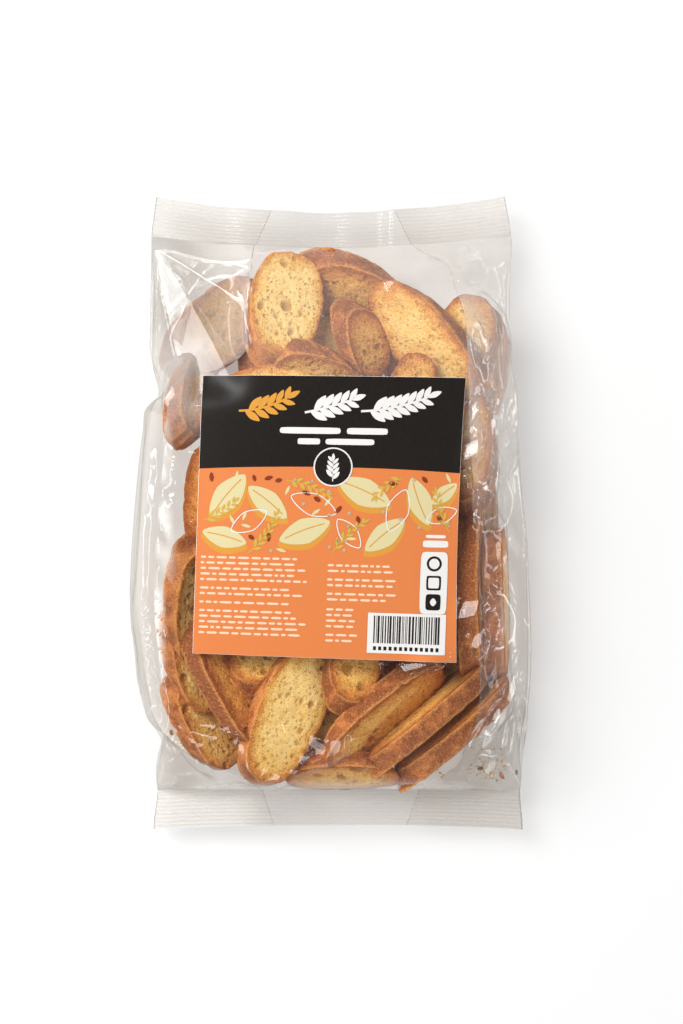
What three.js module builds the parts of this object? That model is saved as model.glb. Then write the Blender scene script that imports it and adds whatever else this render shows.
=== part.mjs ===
// A sealed clear film bag, lying on its back, filled with toasted slices of a thin multigrain loaf, and the paper
// label stuck on its front. Millimetres, +Z up. The origin is under the middle of the bag, on the surface it lies
// on. +X is the bag's right and +Y runs along it, towards its top seal. The bag and what fills it are one solid.
import * as THREE from "three";
import { mergeVertices } from "three/addons/utils/BufferGeometryUtils.js";

// Driving dimensions of the bag
const BAG_LENGTH = 325; // from the end of one seal to the end of the other, at the corners
const SEAL_DEPTH = 20; // of each ribbed heat seal, along Y
const SEAL_THICKNESS = 1.6; // four layers of film, ribbed
const SEAL_HEIGHT = 13; // the welded ends hang between the front and the back
const CROWN = 50; // the highest point of the filled front
const CREASE_SHARE = 0.42; // the widest point of a section, as a share of its height
const ROUNDNESS = 2.6; // exponent of the section's superellipse: 2 is an ellipse, more is boxier
const UNDERSIDE_SQUASH = 9; // how far the round underside would go below the surface that flattens it
const TOP_SAG = 8.5; // how far the middle of the top end is drawn in, beside its corners
const BOTTOM_SAG = 2.5;
const SAG_REACH = 70; // the ends are drawn in over this length

// Half widths at points along the bag, as [y, left, right]: narrow at the seals, widest below the middle
const OUTLINE = [
  [-162.5, 94, 98.5],
  [-138, 91.5, 97],
  [-115, 92, 99.5],
  [-95, 98, 102.5],
  [-70, 102, 104],
  [-37, 104, 103],
  [20, 100, 100.5],
  [62, 96.5, 96],
  [80, 95.5, 91.5],
  [140, 95, 92.5],
  [162.5, 92, 88.5],
];

// Height of the front over the bag's length, as [y, share of CROWN]: steep at the bottom, where the slices are
// heaped against the seal, and falling away towards the top
const FRONT_PROFILE = [
  [-142.5, 0.28],
  [-128, 0.7],
  [-105, 0.93],
  [-60, 1],
  [20, 1],
  [80, 0.95],
  [110, 0.8],
  [128, 0.55],
  [142.5, 0.28],
];

// Driving dimensions of the label
const LABEL_WIDTH = 132;
const LABEL_HEIGHT = 141;
const LABEL_THICKNESS = 0.5;
const LABEL_GAP = 0.5; // between the label and the facets under it
const LABEL_CENTRE = new THREE.Vector2(-2, -2);
const LABEL_TURN = THREE.MathUtils.degToRad(-2); // stuck on slightly askew

// Facets
const STATIONS = 46; // along the bag
const SECTION_POINTS = 44; // around it
const LABEL_STEPS = 14; // along each side of the label

/** A smooth curve through points [y, ...values], read at y: the value in the given column. */
function smooth(points, y, column = 1) {
  const last = points.length - 1;
  if (y <= points[0][0]) return points[0][column];
  if (y >= points[last][0]) return points[last][column];
  const i = points.findIndex((point) => point[0] > y) - 1;
  const slope = (a, b) => (points[b][column] - points[a][column]) / (points[b][0] - points[a][0]);
  const step = points[i + 1][0] - points[i][0];
  const s = (y - points[i][0]) / step;
  const start = slope(Math.max(i - 1, 0), i + 1) * step;
  const end = slope(i, Math.min(i + 2, last)) * step;
  return (
    (2 * s ** 3 - 3 * s ** 2 + 1) * points[i][column] +
    (s ** 3 - 2 * s ** 2 + s) * start +
    (3 * s ** 2 - 2 * s ** 3) * points[i + 1][column] +
    (s ** 3 - s ** 2) * end
  );
}

/** The bag's section at y: its middle and half width in X, and the heights of its front, its widest point and its
 * underside. In the seals the front and the underside meet, a seal's thickness apart. */
function sectionAt(y) {
  const left = smooth(OUTLINE, y, 1);
  const right = smooth(OUTLINE, y, 2);
  const sealStart = BAG_LENGTH / 2 - SEAL_DEPTH;
  const inSeal = Math.abs(y) >= sealStart;
  const front = inSeal ? SEAL_HEIGHT + SEAL_THICKNESS / 2 : smooth(FRONT_PROFILE, y) * CROWN;
  const fullness = THREE.MathUtils.smoothstep(front, SEAL_HEIGHT, CROWN * 0.8);
  const crease = THREE.MathUtils.lerp(SEAL_HEIGHT, CREASE_SHARE * front, fullness);
  const underside = THREE.MathUtils.lerp(SEAL_HEIGHT - SEAL_THICKNESS / 2, -UNDERSIDE_SQUASH, fullness ** 0.5);
  return { middle: (right - left) / 2, half: (right + left) / 2, front, crease, underside };
}

/** Height of the front at (x, y): a superellipse from crease to crease. */
function frontHeight(x, y) {
  const { middle, half, front, crease } = sectionAt(y);
  const across = Math.min(Math.abs(x - middle) / half, 1);
  return crease + (front - crease) * (1 - across ** ROUNDNESS) ** (1 / ROUNDNESS);
}

/** How far the end nearest to y is drawn in, at a point a share `across` of the half width from the middle. */
function sag(y, across) {
  const most = y > 0 ? -TOP_SAG : BOTTOM_SAG;
  const reach = THREE.MathUtils.smoothstep(Math.abs(y), BAG_LENGTH / 2 - SAG_REACH, BAG_LENGTH / 2);
  return most * reach * (1 - across ** 2);
}

/** The stations along Y: even steps, with one on each edge of each seal. */
function stations() {
  const end = BAG_LENGTH / 2;
  const seal = end - SEAL_DEPTH;
  const body = STATIONS - 4;
  const inner = Array.from({ length: body + 1 }, (_, i) => -seal * Math.cos((Math.PI * i) / body));
  return [-end, -(end + seal) / 2, ...inner, (end + seal) / 2, end];
}

/** Rings of points joined into a closed skin, with a flat fan of triangles on each end. */
function lofted(rings) {
  const around = rings[0].length;
  const points = rings.flat();
  const index = [];
  for (let ring = 0; ring < rings.length - 1; ring++) {
    for (let i = 0; i < around; i++) {
      const a = ring * around + i;
      const b = ring * around + ((i + 1) % around);
      index.push(a, b, a + around, b, b + around, a + around);
    }
  }
  for (const [ring, flip] of [[0, true], [rings.length - 1, false]]) {
    const centre = points.length;
    points.push(rings[ring].reduce((sum, p) => sum.add(p), new THREE.Vector3()).divideScalar(around));
    for (let i = 0; i < around; i++) {
      const a = ring * around + i;
      const b = ring * around + ((i + 1) % around);
      index.push(...(flip ? [b, a, centre] : [a, b, centre]));
    }
  }
  const geometry = new THREE.BufferGeometry().setFromPoints(points);
  geometry.setIndex(index);
  return mergeVertices(geometry);
}

/** The filled bag: superellipse sections, flat where they lie on the surface, lofted from end to end. */
function bagGeometry() {
  const rings = stations().map((y) => {
    const { middle, half, front, crease, underside } = sectionAt(y);
    return Array.from({ length: SECTION_POINTS }, (_, i) => {
      const turn = (2 * Math.PI * i) / SECTION_POINTS;
      const across = Math.abs(Math.cos(turn)) ** (2 / ROUNDNESS);
      const up = Math.abs(Math.sin(turn)) ** (2 / ROUNDNESS);
      const x = middle - Math.sign(Math.cos(turn)) * half * across;
      const z = Math.sin(turn) >= 0 ? crease + (front - crease) * up : crease - (crease - underside) * up;
      return new THREE.Vector3(x, y + sag(y, across), Math.max(z, 0));
    });
  });
  return lofted(rings);
}

/** The label: a paper sheet that follows the front, a gap above it. */
function labelGeometry() {
  const turn = (u, v) => new THREE.Vector2(u, v).rotateAround(new THREE.Vector2(), LABEL_TURN).add(LABEL_CENTRE);
  const points = [];
  for (const lift of [LABEL_GAP, LABEL_GAP + LABEL_THICKNESS]) {
    for (let j = 0; j <= LABEL_STEPS; j++) {
      for (let i = 0; i <= LABEL_STEPS; i++) {
        const { x, y } = turn((i / LABEL_STEPS - 0.5) * LABEL_WIDTH, (j / LABEL_STEPS - 0.5) * LABEL_HEIGHT);
        points.push(new THREE.Vector3(x, y, frontHeight(x, y) + lift));
      }
    }
  }
  const row = LABEL_STEPS + 1;
  const sheet = row * row;
  const at = (i, j, layer) => layer * sheet + j * row + i;
  const index = [];
  const quad = (a, b, c, d) => index.push(a, b, c, a, c, d);
  for (let j = 0; j < LABEL_STEPS; j++) {
    for (let i = 0; i < LABEL_STEPS; i++) {
      quad(at(i, j, 1), at(i + 1, j, 1), at(i + 1, j + 1, 1), at(i, j + 1, 1));
      quad(at(i, j, 0), at(i, j + 1, 0), at(i + 1, j + 1, 0), at(i + 1, j, 0));
    }
  }
  for (let i = 0; i < LABEL_STEPS; i++) {
    const n = LABEL_STEPS;
    quad(at(i, 0, 0), at(i + 1, 0, 0), at(i + 1, 0, 1), at(i, 0, 1));
    quad(at(n, i, 0), at(n, i + 1, 0), at(n, i + 1, 1), at(n, i, 1));
    quad(at(n - i, n, 0), at(n - i - 1, n, 0), at(n - i - 1, n, 1), at(n - i, n, 1));
    quad(at(0, n - i, 0), at(0, n - i - 1, 0), at(0, n - i - 1, 1), at(0, n - i, 1));
  }
  const geometry = new THREE.BufferGeometry().setFromPoints(points);
  geometry.setIndex(index);
  return geometry;
}

const toastAndFilm = new THREE.MeshStandardMaterial({ color: 0xd9a873, roughness: 0.25, metalness: 0 });
const printedPaper = new THREE.MeshStandardMaterial({ color: 0xf08a4b, roughness: 0.45, metalness: 0 });

const bag = new THREE.Mesh(bagGeometry(), toastAndFilm);
bag.name = "bag";
const label = new THREE.Mesh(labelGeometry(), printedPaper);
label.name = "label";

// The origin goes under the middle of the bag's box
const middle = new THREE.Box3().setFromObject(bag).getCenter(new THREE.Vector3());
const pack = new THREE.Group();
pack.add(bag, label);
pack.position.set(-middle.x, -middle.y, 0);

export default pack;
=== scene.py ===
"""A clear film bag of toasted multigrain slices with a paper label, lying on its back around the CAD frame.

Lengths are in millimetres until a mesh is made. +X is the bag's right, +Y is its top end and +Z is up.
"""
import math

import bpy
import numpy as np
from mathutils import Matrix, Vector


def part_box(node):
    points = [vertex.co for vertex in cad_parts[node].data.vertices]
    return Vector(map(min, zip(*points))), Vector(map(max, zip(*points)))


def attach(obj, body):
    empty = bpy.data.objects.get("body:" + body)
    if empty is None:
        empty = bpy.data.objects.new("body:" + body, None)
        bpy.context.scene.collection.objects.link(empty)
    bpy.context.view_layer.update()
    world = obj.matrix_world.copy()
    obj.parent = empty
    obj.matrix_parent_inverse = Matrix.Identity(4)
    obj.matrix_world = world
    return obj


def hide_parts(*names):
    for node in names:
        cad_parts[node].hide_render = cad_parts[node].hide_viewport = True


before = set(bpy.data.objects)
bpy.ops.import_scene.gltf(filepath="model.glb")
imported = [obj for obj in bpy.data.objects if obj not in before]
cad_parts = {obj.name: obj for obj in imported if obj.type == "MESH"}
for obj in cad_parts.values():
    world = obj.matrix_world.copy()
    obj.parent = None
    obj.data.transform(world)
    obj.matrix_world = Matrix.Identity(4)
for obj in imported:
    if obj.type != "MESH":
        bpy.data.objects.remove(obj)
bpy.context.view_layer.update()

MM = 0.001

# --------------------------------------------------------------------------------------------------
# Small tools
# --------------------------------------------------------------------------------------------------


def lattice_noise(points, size, seed):
    """Smooth noise from -1 to 1: random values at the corners of a lattice of `size` mm, blended by a cubic
    ease."""
    place = np.asarray(points, float) / size + 211.37
    cell = np.floor(place).astype(np.int64)
    ease = place - cell
    ease = ease * ease * (3 - 2 * ease)
    total = np.zeros(place.shape[:-1])
    for corner in np.ndindex(2, 2, 2):
        at = cell + corner
        mixed = at[..., 0] * 73856093 ^ at[..., 1] * 19349663 ^ at[..., 2] * 83492791 ^ seed * 40503
        mixed = (mixed ^ mixed >> 13) * 1274126177 & 0x7FFFFFFF
        value = ((mixed ^ mixed >> 16) & 0xFFFF) / 32767.5 - 1
        total += value * np.prod(np.where(corner, ease, 1 - ease), axis=-1)
    return total


def ramp(x, low, high):
    """0 below low, 1 above high, with a smooth cubic between."""
    t = np.clip((x - low) / (high - low), 0, 1)
    return t * t * (3 - 2 * t)


def grid_quads(rows, columns, first=0, wrap=False):
    """The quads of a grid of rows x columns points, whose last column meets the first if it wraps."""
    index = first + np.arange(rows * columns).reshape(rows, columns)
    right = np.roll(index, -1, axis=1) if wrap else index[:, 1:]
    left = index if wrap else index[:, :-1]
    return np.stack([left[:-1], right[:-1], right[1:], left[1:]], axis=-1).reshape(-1, 4)


def rim_of(rows, columns):
    """The points round the rim of such a grid: along the first column, the last row, and back."""
    return np.concatenate(
        [
            np.arange(rows - 1) * columns,
            (rows - 1) * columns + np.arange(columns - 1),
            (rows - 1 - np.arange(rows - 1)) * columns + columns - 1,
            columns - 1 - np.arange(columns - 1),
        ]
    )


def nine_around(table):
    """For every cell of a table, the 3 x 3 cells around it: nine shifts of the table, its edge repeated."""
    padded = np.pad(table, 1, mode="edge")
    rows, columns = table.shape
    return [padded[a : a + rows, b : b + columns] for a in range(3) for b in range(3)]


def spread_and_blurred(table, spreads, blurs):
    """A table of heights as stiff film feels it: spread by some cells, each taking the highest around it,
    then blurred by some, each taking the mean, so that film over it rests on the high spots."""
    for kind in [np.max] * spreads + [np.mean] * blurs:
        table = kind(nine_around(table), axis=0)
    return table


def make_piece(name, points, quads, materials, slot, which=None, smooth=True, **attributes):
    """A mesh object from points in mm and quads, riding on the bag's one body. Its slot argument is not used.
    """
    mesh = bpy.data.meshes.new(name)
    points = np.asarray(points, float).reshape(-1, 3) * MM
    quads = np.asarray(quads, np.int32)
    sides = quads.shape[1]
    mesh.vertices.add(len(points))
    mesh.vertices.foreach_set("co", points.ravel())
    mesh.loops.add(quads.size)
    mesh.loops.foreach_set("vertex_index", quads.ravel())
    mesh.polygons.add(len(quads))
    mesh.polygons.foreach_set("loop_start", np.arange(0, quads.size, sides, dtype=np.int32))
    mesh.polygons.foreach_set("use_smooth", np.full(len(quads), smooth))
    for material in materials:
        mesh.materials.append(material)
    if which is not None:
        mesh.polygons.foreach_set("material_index", np.asarray(which, np.int32))
    for key, values in attributes.items():
        layer = mesh.attributes.new(key, "FLOAT", "POINT")
        layer.data.foreach_set("value", np.ravel(values).astype(np.float32))
    mesh.update(calc_edges=True)
    mesh.validate()
    piece = bpy.data.objects.new(name, mesh)
    bpy.context.scene.collection.objects.link(piece)
    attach(piece, "root")
    return piece


# --------------------------------------------------------------------------------------------------
# Materials
# --------------------------------------------------------------------------------------------------


def linear(hex_colour):
    """An sRGB hex colour as linear RGBA."""
    parts = [int(hex_colour[i : i + 2], 16) / 255 for i in (1, 3, 5)]
    return (*(c / 12.92 if c <= 0.04045 else ((c + 0.055) / 1.055) ** 2.4 for c in parts), 1.0)


def add(tree, kind, inputs=None, **settings):
    """Adds a shader node: settings are its own properties, and inputs maps a socket's name or number to a
    value or to the output that feeds it."""
    node = tree.nodes.new(kind)
    for key, value in settings.items():
        setattr(node, key, value)
    for key, value in (inputs or {}).items():
        if isinstance(value, bpy.types.NodeSocket):
            tree.links.new(value, node.inputs[key])
        else:
            node.inputs[key].default_value = value
    return node


def new_material(name):
    """An empty node material, with its tree and its output node."""
    material = bpy.data.materials.new(name)
    material.use_nodes = True
    material.node_tree.nodes.clear()
    return material, material.node_tree, material.node_tree.nodes.new("ShaderNodeOutputMaterial")


def colour_ramp(tree, factor, stops):
    """A colour ramp through [(place, hex colour), ...]."""
    node = add(tree, "ShaderNodeValToRGB", {0: factor})
    elements = node.color_ramp.elements
    while len(elements) < len(stops):
        elements.new(0.5)
    for element, (place, colour) in zip(elements, stops):
        element.position = place
        element.color = linear(colour)
    return node.outputs["Color"]


def mixed(tree, factor, a, b, mode="MIX"):
    """A colour mix of two colours, each a hex or an output."""
    node = add(tree, "ShaderNodeMix", {0: factor}, data_type="RGBA", blend_type=mode)
    for socket, value in ((node.inputs[6], a), (node.inputs[7], b)):
        if isinstance(value, str):
            socket.default_value = linear(value)
        else:
            tree.links.new(value, socket)
    return node.outputs[2]


def pores(tree, place, per_metre, least, most):
    """A mask of round pores: in a honeycomb of cells, each has one hole of its own size, between least and
    most of a cell across."""
    cells = add(tree, "ShaderNodeTexVoronoi", {"Vector": place, "Scale": per_metre, "Randomness": 1.0})
    own = add(tree, "ShaderNodeSeparateColor", {0: cells.outputs["Color"]}).outputs[0]
    size = add(tree, "ShaderNodeMapRange", {0: own, 1: 0.0, 2: 1.0, 3: least, 4: most}).outputs[0]
    inside = add(
        tree, "ShaderNodeMath", {0: size, 1: cells.outputs["Distance"]}, operation="SUBTRACT"
    ).outputs[0]
    return add(tree, "ShaderNodeMapRange", {0: inside, 1: 0.0, 2: 0.16}).outputs[0]


def toasted_crumb():
    """Toasted bread crumb, sawn slantwise and dried in an oven: a dry, matte, golden sponge with pores of
    about a millimetre. It is palest in the middle of a slice and goes orange and brown towards the rim. Its
    pores are painted darker than the crumb around them: painted shade in the holes."""
    material, tree, output = new_material("toasted_crumb")
    place = add(tree, "ShaderNodeTexCoord").outputs["Object"]
    toast = add(tree, "ShaderNodeAttribute", attribute_name="toast").outputs["Fac"]
    pit = add(tree, "ShaderNodeAttribute", attribute_name="pit").outputs["Fac"]
    patches = add(
        tree, "ShaderNodeTexNoise", {"Vector": place, "Scale": 130.0, "Detail": 6.0, "Roughness": 0.6}
    )
    browned = add(tree, "ShaderNodeMath", {0: patches.outputs["Fac"], 1: -0.5}, operation="ADD").outputs[0]
    browned = add(tree, "ShaderNodeMath", {0: browned, 1: 0.8, 2: toast}, operation="MULTIPLY_ADD").outputs[0]
    grain = add(tree, "ShaderNodeTexNoise", {"Vector": place, "Scale": 1500.0, "Detail": 3.0}).outputs["Fac"]
    grainy = add(tree, "ShaderNodeMath", {0: grain, 1: -0.5}, operation="ADD").outputs[0]
    browned = add(
        tree, "ShaderNodeMath", {0: grainy, 1: 1.1, 2: browned}, operation="MULTIPLY_ADD"
    ).outputs[0]
    stops = [(0.0, "#FBD88D"), (0.25, "#F0C067"), (0.5, "#DA9748"), (0.78, "#BC7032"), (1.0, "#985026")]
    base = colour_ramp(tree, browned, stops)
    # Painted shade: the pores and the deeper pits are drawn in darker browns, as holes look in shade.
    coarse = pores(tree, place, 430.0, -0.05, 0.42)
    fine = pores(tree, place, 820.0, 0.08, 0.45)
    shade = mixed(tree, fine, base, mixed(tree, 0.38, base, "#B5701A"))
    shade = mixed(tree, coarse, shade, mixed(tree, 0.48, base, "#AC6E26"))
    shade = mixed(tree, pit, shade, mixed(tree, 0.55, base, "#9C5E1E"))
    holes = add(tree, "ShaderNodeMath", {0: coarse, 1: 1.6, 2: fine}, operation="MULTIPLY_ADD").outputs[0]
    relief = add(tree, "ShaderNodeMath", {0: grain, 1: holes}, operation="SUBTRACT").outputs[0]
    bump = add(tree, "ShaderNodeBump", {"Height": relief, "Distance": 0.0004, "Strength": 0.8}).outputs[0]
    shader = add(tree, "ShaderNodeBsdfPrincipled", {"Base Color": shade, "Normal": bump, "Roughness": 0.85})
    shader.inputs["Specular IOR Level"].default_value = 0.3
    tree.links.new(shader.outputs[0], output.inputs["Surface"])
    return material


def toasted_crust():
    """The crust of a thin loaf, baked and then toasted: red-brown to golden, dull with a slight gloss, rough
    and finely crazed, with paler flour grains and dark scorched ones."""
    material, tree, output = new_material("toasted_crust")
    place = add(tree, "ShaderNodeTexCoord").outputs["Object"]
    bake = add(tree, "ShaderNodeAttribute", attribute_name="bake").outputs["Fac"]
    patches = add(
        tree, "ShaderNodeTexNoise", {"Vector": place, "Scale": 100.0, "Detail": 5.0, "Roughness": 0.6}
    )
    # The bake value browns the crust: partly how toasted it is, partly painted shade for slices deep in the
    # heap.
    tone = add(
        tree, "ShaderNodeMath", {0: patches.outputs["Fac"], 1: 1.5, 2: bake}, operation="MULTIPLY_ADD"
    ).outputs[0]
    base = colour_ramp(tree, tone, [(0.3, "#F0B66C"), (0.56, "#DA914E"), (0.84, "#B96D38"), (1.0, "#935027")])
    dust = add(
        tree, "ShaderNodeTexNoise", {"Vector": place, "Scale": 1100.0, "Detail": 3.0, "Roughness": 0.65}
    )
    # Paler and more golden near the cut rims, in a noisy band.
    rim = add(tree, "ShaderNodeAttribute", attribute_name="rim").outputs["Fac"]
    paler_near_rim = add(
        tree, "ShaderNodeMath", {0: dust.outputs["Fac"], 1: 1.6, 2: rim}, operation="MULTIPLY_ADD"
    ).outputs[0]
    paler_near_rim = add(tree, "ShaderNodeMapRange", {0: paler_near_rim, 1: 0.95, 2: 1.75, 4: 0.7}).outputs[0]
    base = mixed(tree, paler_near_rim, base, "#DE9A50")
    specks = add(tree, "ShaderNodeMapRange", {0: dust.outputs["Fac"], 1: 0.52, 2: 0.72}).outputs[0]
    shade = mixed(tree, specks, base, mixed(tree, 0.42, base, "#F3B971"))
    scorched = add(tree, "ShaderNodeMapRange", {0: dust.outputs["Fac"], 1: 0.46, 2: 0.3}).outputs[0]
    shade = mixed(tree, scorched, shade, mixed(tree, 0.45, base, "#5E2F16"))
    crazed = add(tree, "ShaderNodeTexVoronoi", {"Vector": place, "Scale": 620.0}, feature="DISTANCE_TO_EDGE")
    cracks = add(tree, "ShaderNodeMapRange", {0: crazed.outputs["Distance"], 1: 0.0, 2: 0.12}).outputs[0]
    relief = add(
        tree, "ShaderNodeMath", {0: cracks, 1: 0.4, 2: dust.outputs["Fac"]}, operation="MULTIPLY_ADD"
    ).outputs[0]
    bump = add(tree, "ShaderNodeBump", {"Height": relief, "Distance": 0.0005, "Strength": 0.8}).outputs[0]
    shader = add(tree, "ShaderNodeBsdfPrincipled", {"Base Color": shade, "Normal": bump, "Roughness": 0.7})
    shader.inputs["Specular IOR Level"].default_value = 0.35
    tree.links.new(shader.outputs[0], output.inputs["Surface"])
    return material


def clear_film(name, crease_depth, gloss_share, edge_and_shade_tint):
    """Oriented polypropylene film, drawn thin and clear: most light goes straight through, each layer mirrors
    a little of it, more at a glancing angle, and a trace is scattered as haze, more where it was folded or
    pressed, and in white patches that are painted highlights. What goes through is darkened more where the
    film is seen edge-on, and by painted shade where an attribute asks for it. Where the film is slack, thin
    creases run over it as ridges of a noise: 1 where the noise crosses its middle value, falling to 0 within
    a few percent."""
    material, tree, output = new_material(name)
    place = add(tree, "ShaderNodeTexCoord").outputs["Object"]
    slack = add(tree, "ShaderNodeAttribute", attribute_name="slack").outputs["Fac"]
    cloudy = add(tree, "ShaderNodeAttribute", attribute_name="cloudy").outputs["Fac"]
    wander = add(
        tree, "ShaderNodeTexNoise", {"Vector": place, "Scale": 38.0, "Detail": 2.0, "Distortion": 0.6}
    )
    from_middle = add(
        tree, "ShaderNodeMath", {0: wander.outputs["Fac"], 1: 0.5}, operation="SUBTRACT"
    ).outputs[0]
    from_middle = add(tree, "ShaderNodeMath", {0: from_middle}, operation="ABSOLUTE").outputs[0]
    ridge = add(tree, "ShaderNodeMapRange", {0: from_middle, 1: 0.0, 2: 0.045, 3: 1.0, 4: 0.0}).outputs[0]
    relief = add(tree, "ShaderNodeMath", {0: ridge, 1: slack}, operation="MULTIPLY").outputs[0]
    bump = add(
        tree, "ShaderNodeBump", {"Height": relief, "Distance": crease_depth, "Strength": 1.0}
    ).outputs[0]
    facing_away = add(tree, "ShaderNodeLayerWeight", {"Blend": 0.5}).outputs["Facing"]
    grazing = add(tree, "ShaderNodeMath", {0: facing_away, 1: 5.0}, operation="POWER").outputs[0]
    mirrored = add(
        tree, "ShaderNodeMath", {0: grazing, 1: 0.9, 2: gloss_share}, operation="MULTIPLY_ADD"
    ).outputs[0]
    # Painted shade: this attribute darkens what shows through the film where it should look darker, on top of
    # the edge-on darkening.
    grey = add(tree, "ShaderNodeAttribute", attribute_name="grey").outputs["Fac"]
    steep = add(tree, "ShaderNodeMath", {0: facing_away, 1: 4.0}, operation="POWER").outputs[0]
    steep = add(tree, "ShaderNodeMath", {0: steep, 1: grey}, operation="ADD").outputs[0]
    tint = mixed(tree, steep, "#FEFDFC", edge_and_shade_tint)
    clear = add(tree, "ShaderNodeBsdfTransparent", {"Color": tint}).outputs[0]
    haze = add(tree, "ShaderNodeBsdfDiffuse", {"Color": linear("#EBE9E4")}).outputs[0]
    gloss = add(tree, "ShaderNodeBsdfGlossy", {"Color": linear("#FFFFFF"), "Roughness": 0.07, "Normal": bump})
    body = add(tree, "ShaderNodeMixShader", {0: cloudy, 1: clear, 2: haze}).outputs[0]
    surface = add(tree, "ShaderNodeMixShader", {0: mirrored, 1: body, 2: gloss.outputs[0]}).outputs[0]
    tree.links.new(surface, output.inputs["Surface"])
    return material


def coated_paper():
    """White coated label paper: smooth, with a faint fibre relief under a satin clay coat."""
    material, tree, output = new_material("coated_paper")
    place = add(tree, "ShaderNodeTexCoord").outputs["Object"]
    fibre = add(tree, "ShaderNodeTexNoise", {"Vector": place, "Scale": 1400.0, "Detail": 3.0}).outputs["Fac"]
    bump = add(tree, "ShaderNodeBump", {"Height": fibre, "Distance": 0.00002, "Strength": 0.3}).outputs[0]
    shade = mixed(tree, fibre, "#F3F1EC", "#FBFAF7")
    shader = add(tree, "ShaderNodeBsdfPrincipled", {"Base Color": shade, "Normal": bump, "Roughness": 0.45})
    tree.links.new(shader.outputs[0], output.inputs["Surface"])
    return material


def printed_ink(name, colour):
    """Offset ink under a thin varnish: even colour with the slight cloudiness of a solid print, and a satin
    sheen over the paper's fibre."""
    material, tree, output = new_material(name + "_ink")
    place = add(tree, "ShaderNodeTexCoord").outputs["Object"]
    cloud = add(tree, "ShaderNodeTexNoise", {"Vector": place, "Scale": 500.0, "Detail": 4.0}).outputs["Fac"]
    thin = add(tree, "ShaderNodeMapRange", {0: cloud, 1: 0.3, 2: 0.7, 3: 0.0, 4: 0.003}).outputs[0]
    fibre = add(tree, "ShaderNodeTexNoise", {"Vector": place, "Scale": 1400.0, "Detail": 3.0}).outputs["Fac"]
    bump = add(tree, "ShaderNodeBump", {"Height": fibre, "Distance": 0.00002, "Strength": 0.3}).outputs[0]
    shade = mixed(tree, thin, colour, "#FFFFFF")
    shader = add(tree, "ShaderNodeBsdfPrincipled", {"Base Color": shade, "Normal": bump, "Roughness": 0.34})
    shader.inputs["Specular IOR Level"].default_value = 0.3
    tree.links.new(shader.outputs[0], output.inputs["Surface"])
    return material


# --------------------------------------------------------------------------------------------------
# The bag's form
# --------------------------------------------------------------------------------------------------

ROUNDNESS = 2.6  # exponent of the section's superellipse
CREASE_SHARE = 0.42  # height of a section's widest point, as a share of its crown


STATIONS, STATION_REACH = 60, 6  # places along the bag where it is measured, and mm to each side of them


def bag_profile(node):
    """The CAD bag's left and right edge and crown at stations along it: columns y, left, right, crown."""
    points = np.array([v.co for v in node.data.vertices]) / MM
    rows = []
    for y in np.linspace(points[:, 1].min(), points[:, 1].max(), STATIONS):
        near = points[np.abs(points[:, 1] - y) < STATION_REACH]
        rows.append((y, near[:, 0].min(), near[:, 0].max(), near[:, 2].max()))
    rows = np.array(rows)
    kernel = np.array([0.25, 0.5, 0.25])
    for column in (1, 2, 3):
        padded = np.pad(rows[:, column], 1, mode="edge")
        rows[:, column] = np.convolve(padded, kernel, mode="valid")
    return rows


PROFILE = bag_profile(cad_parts["bag"])


def edge_and_crown(y):
    """Left edge, right edge and crown of the bag at y."""
    return tuple(np.interp(y, PROFILE[:, 0], PROFILE[:, k]) for k in (1, 2, 3))


def front_height(x, y):
    """Height of the bag's front at x, y: a superellipse from crease to crease."""
    left, right, crown = edge_and_crown(y)
    across = np.clip(np.abs(x - (left + right) / 2) / ((right - left) / 2), 0, 1)
    crease = CREASE_SHARE * crown
    return crease + (crown - crease) * (1 - across**ROUNDNESS) ** (1 / ROUNDNESS)


HEAP_START, HEAP_END = -141, 131  # between these y the slices lie
LEFT_ROOM, RIGHT_ROOM = 15, 6  # left free between them and the bag's edges, because its gussets are folded in
BACK_ROOM, FRONT_ROOM = 1.8, 1.5  # left free under them and over them


def keep_in_film(points, radius):
    """Points brought back to where a ball of that radius lies inside the bag."""
    left, right, _ = edge_and_crown(points[:, 1])
    kept = points.copy()
    kept[:, 1] = np.clip(points[:, 1], HEAP_START + radius, HEAP_END - radius)
    kept[:, 0] = np.clip(points[:, 0], left + LEFT_ROOM + radius, right - RIGHT_ROOM - radius)
    highest = front_height(kept[:, 0], kept[:, 1]) - FRONT_ROOM - radius
    kept[:, 2] = np.clip(points[:, 2], BACK_ROOM + radius, highest)
    return kept


# --------------------------------------------------------------------------------------------------
# Slices
# --------------------------------------------------------------------------------------------------

SLICE_THICKNESS = 11.0
RIM_REACH = 2.4  # how far down the crust the colour of its cut edge fades out
FINE, COARSE = 0.62, 1.4  # mm between the points of a slice that shows, and of one that hardly does
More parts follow.
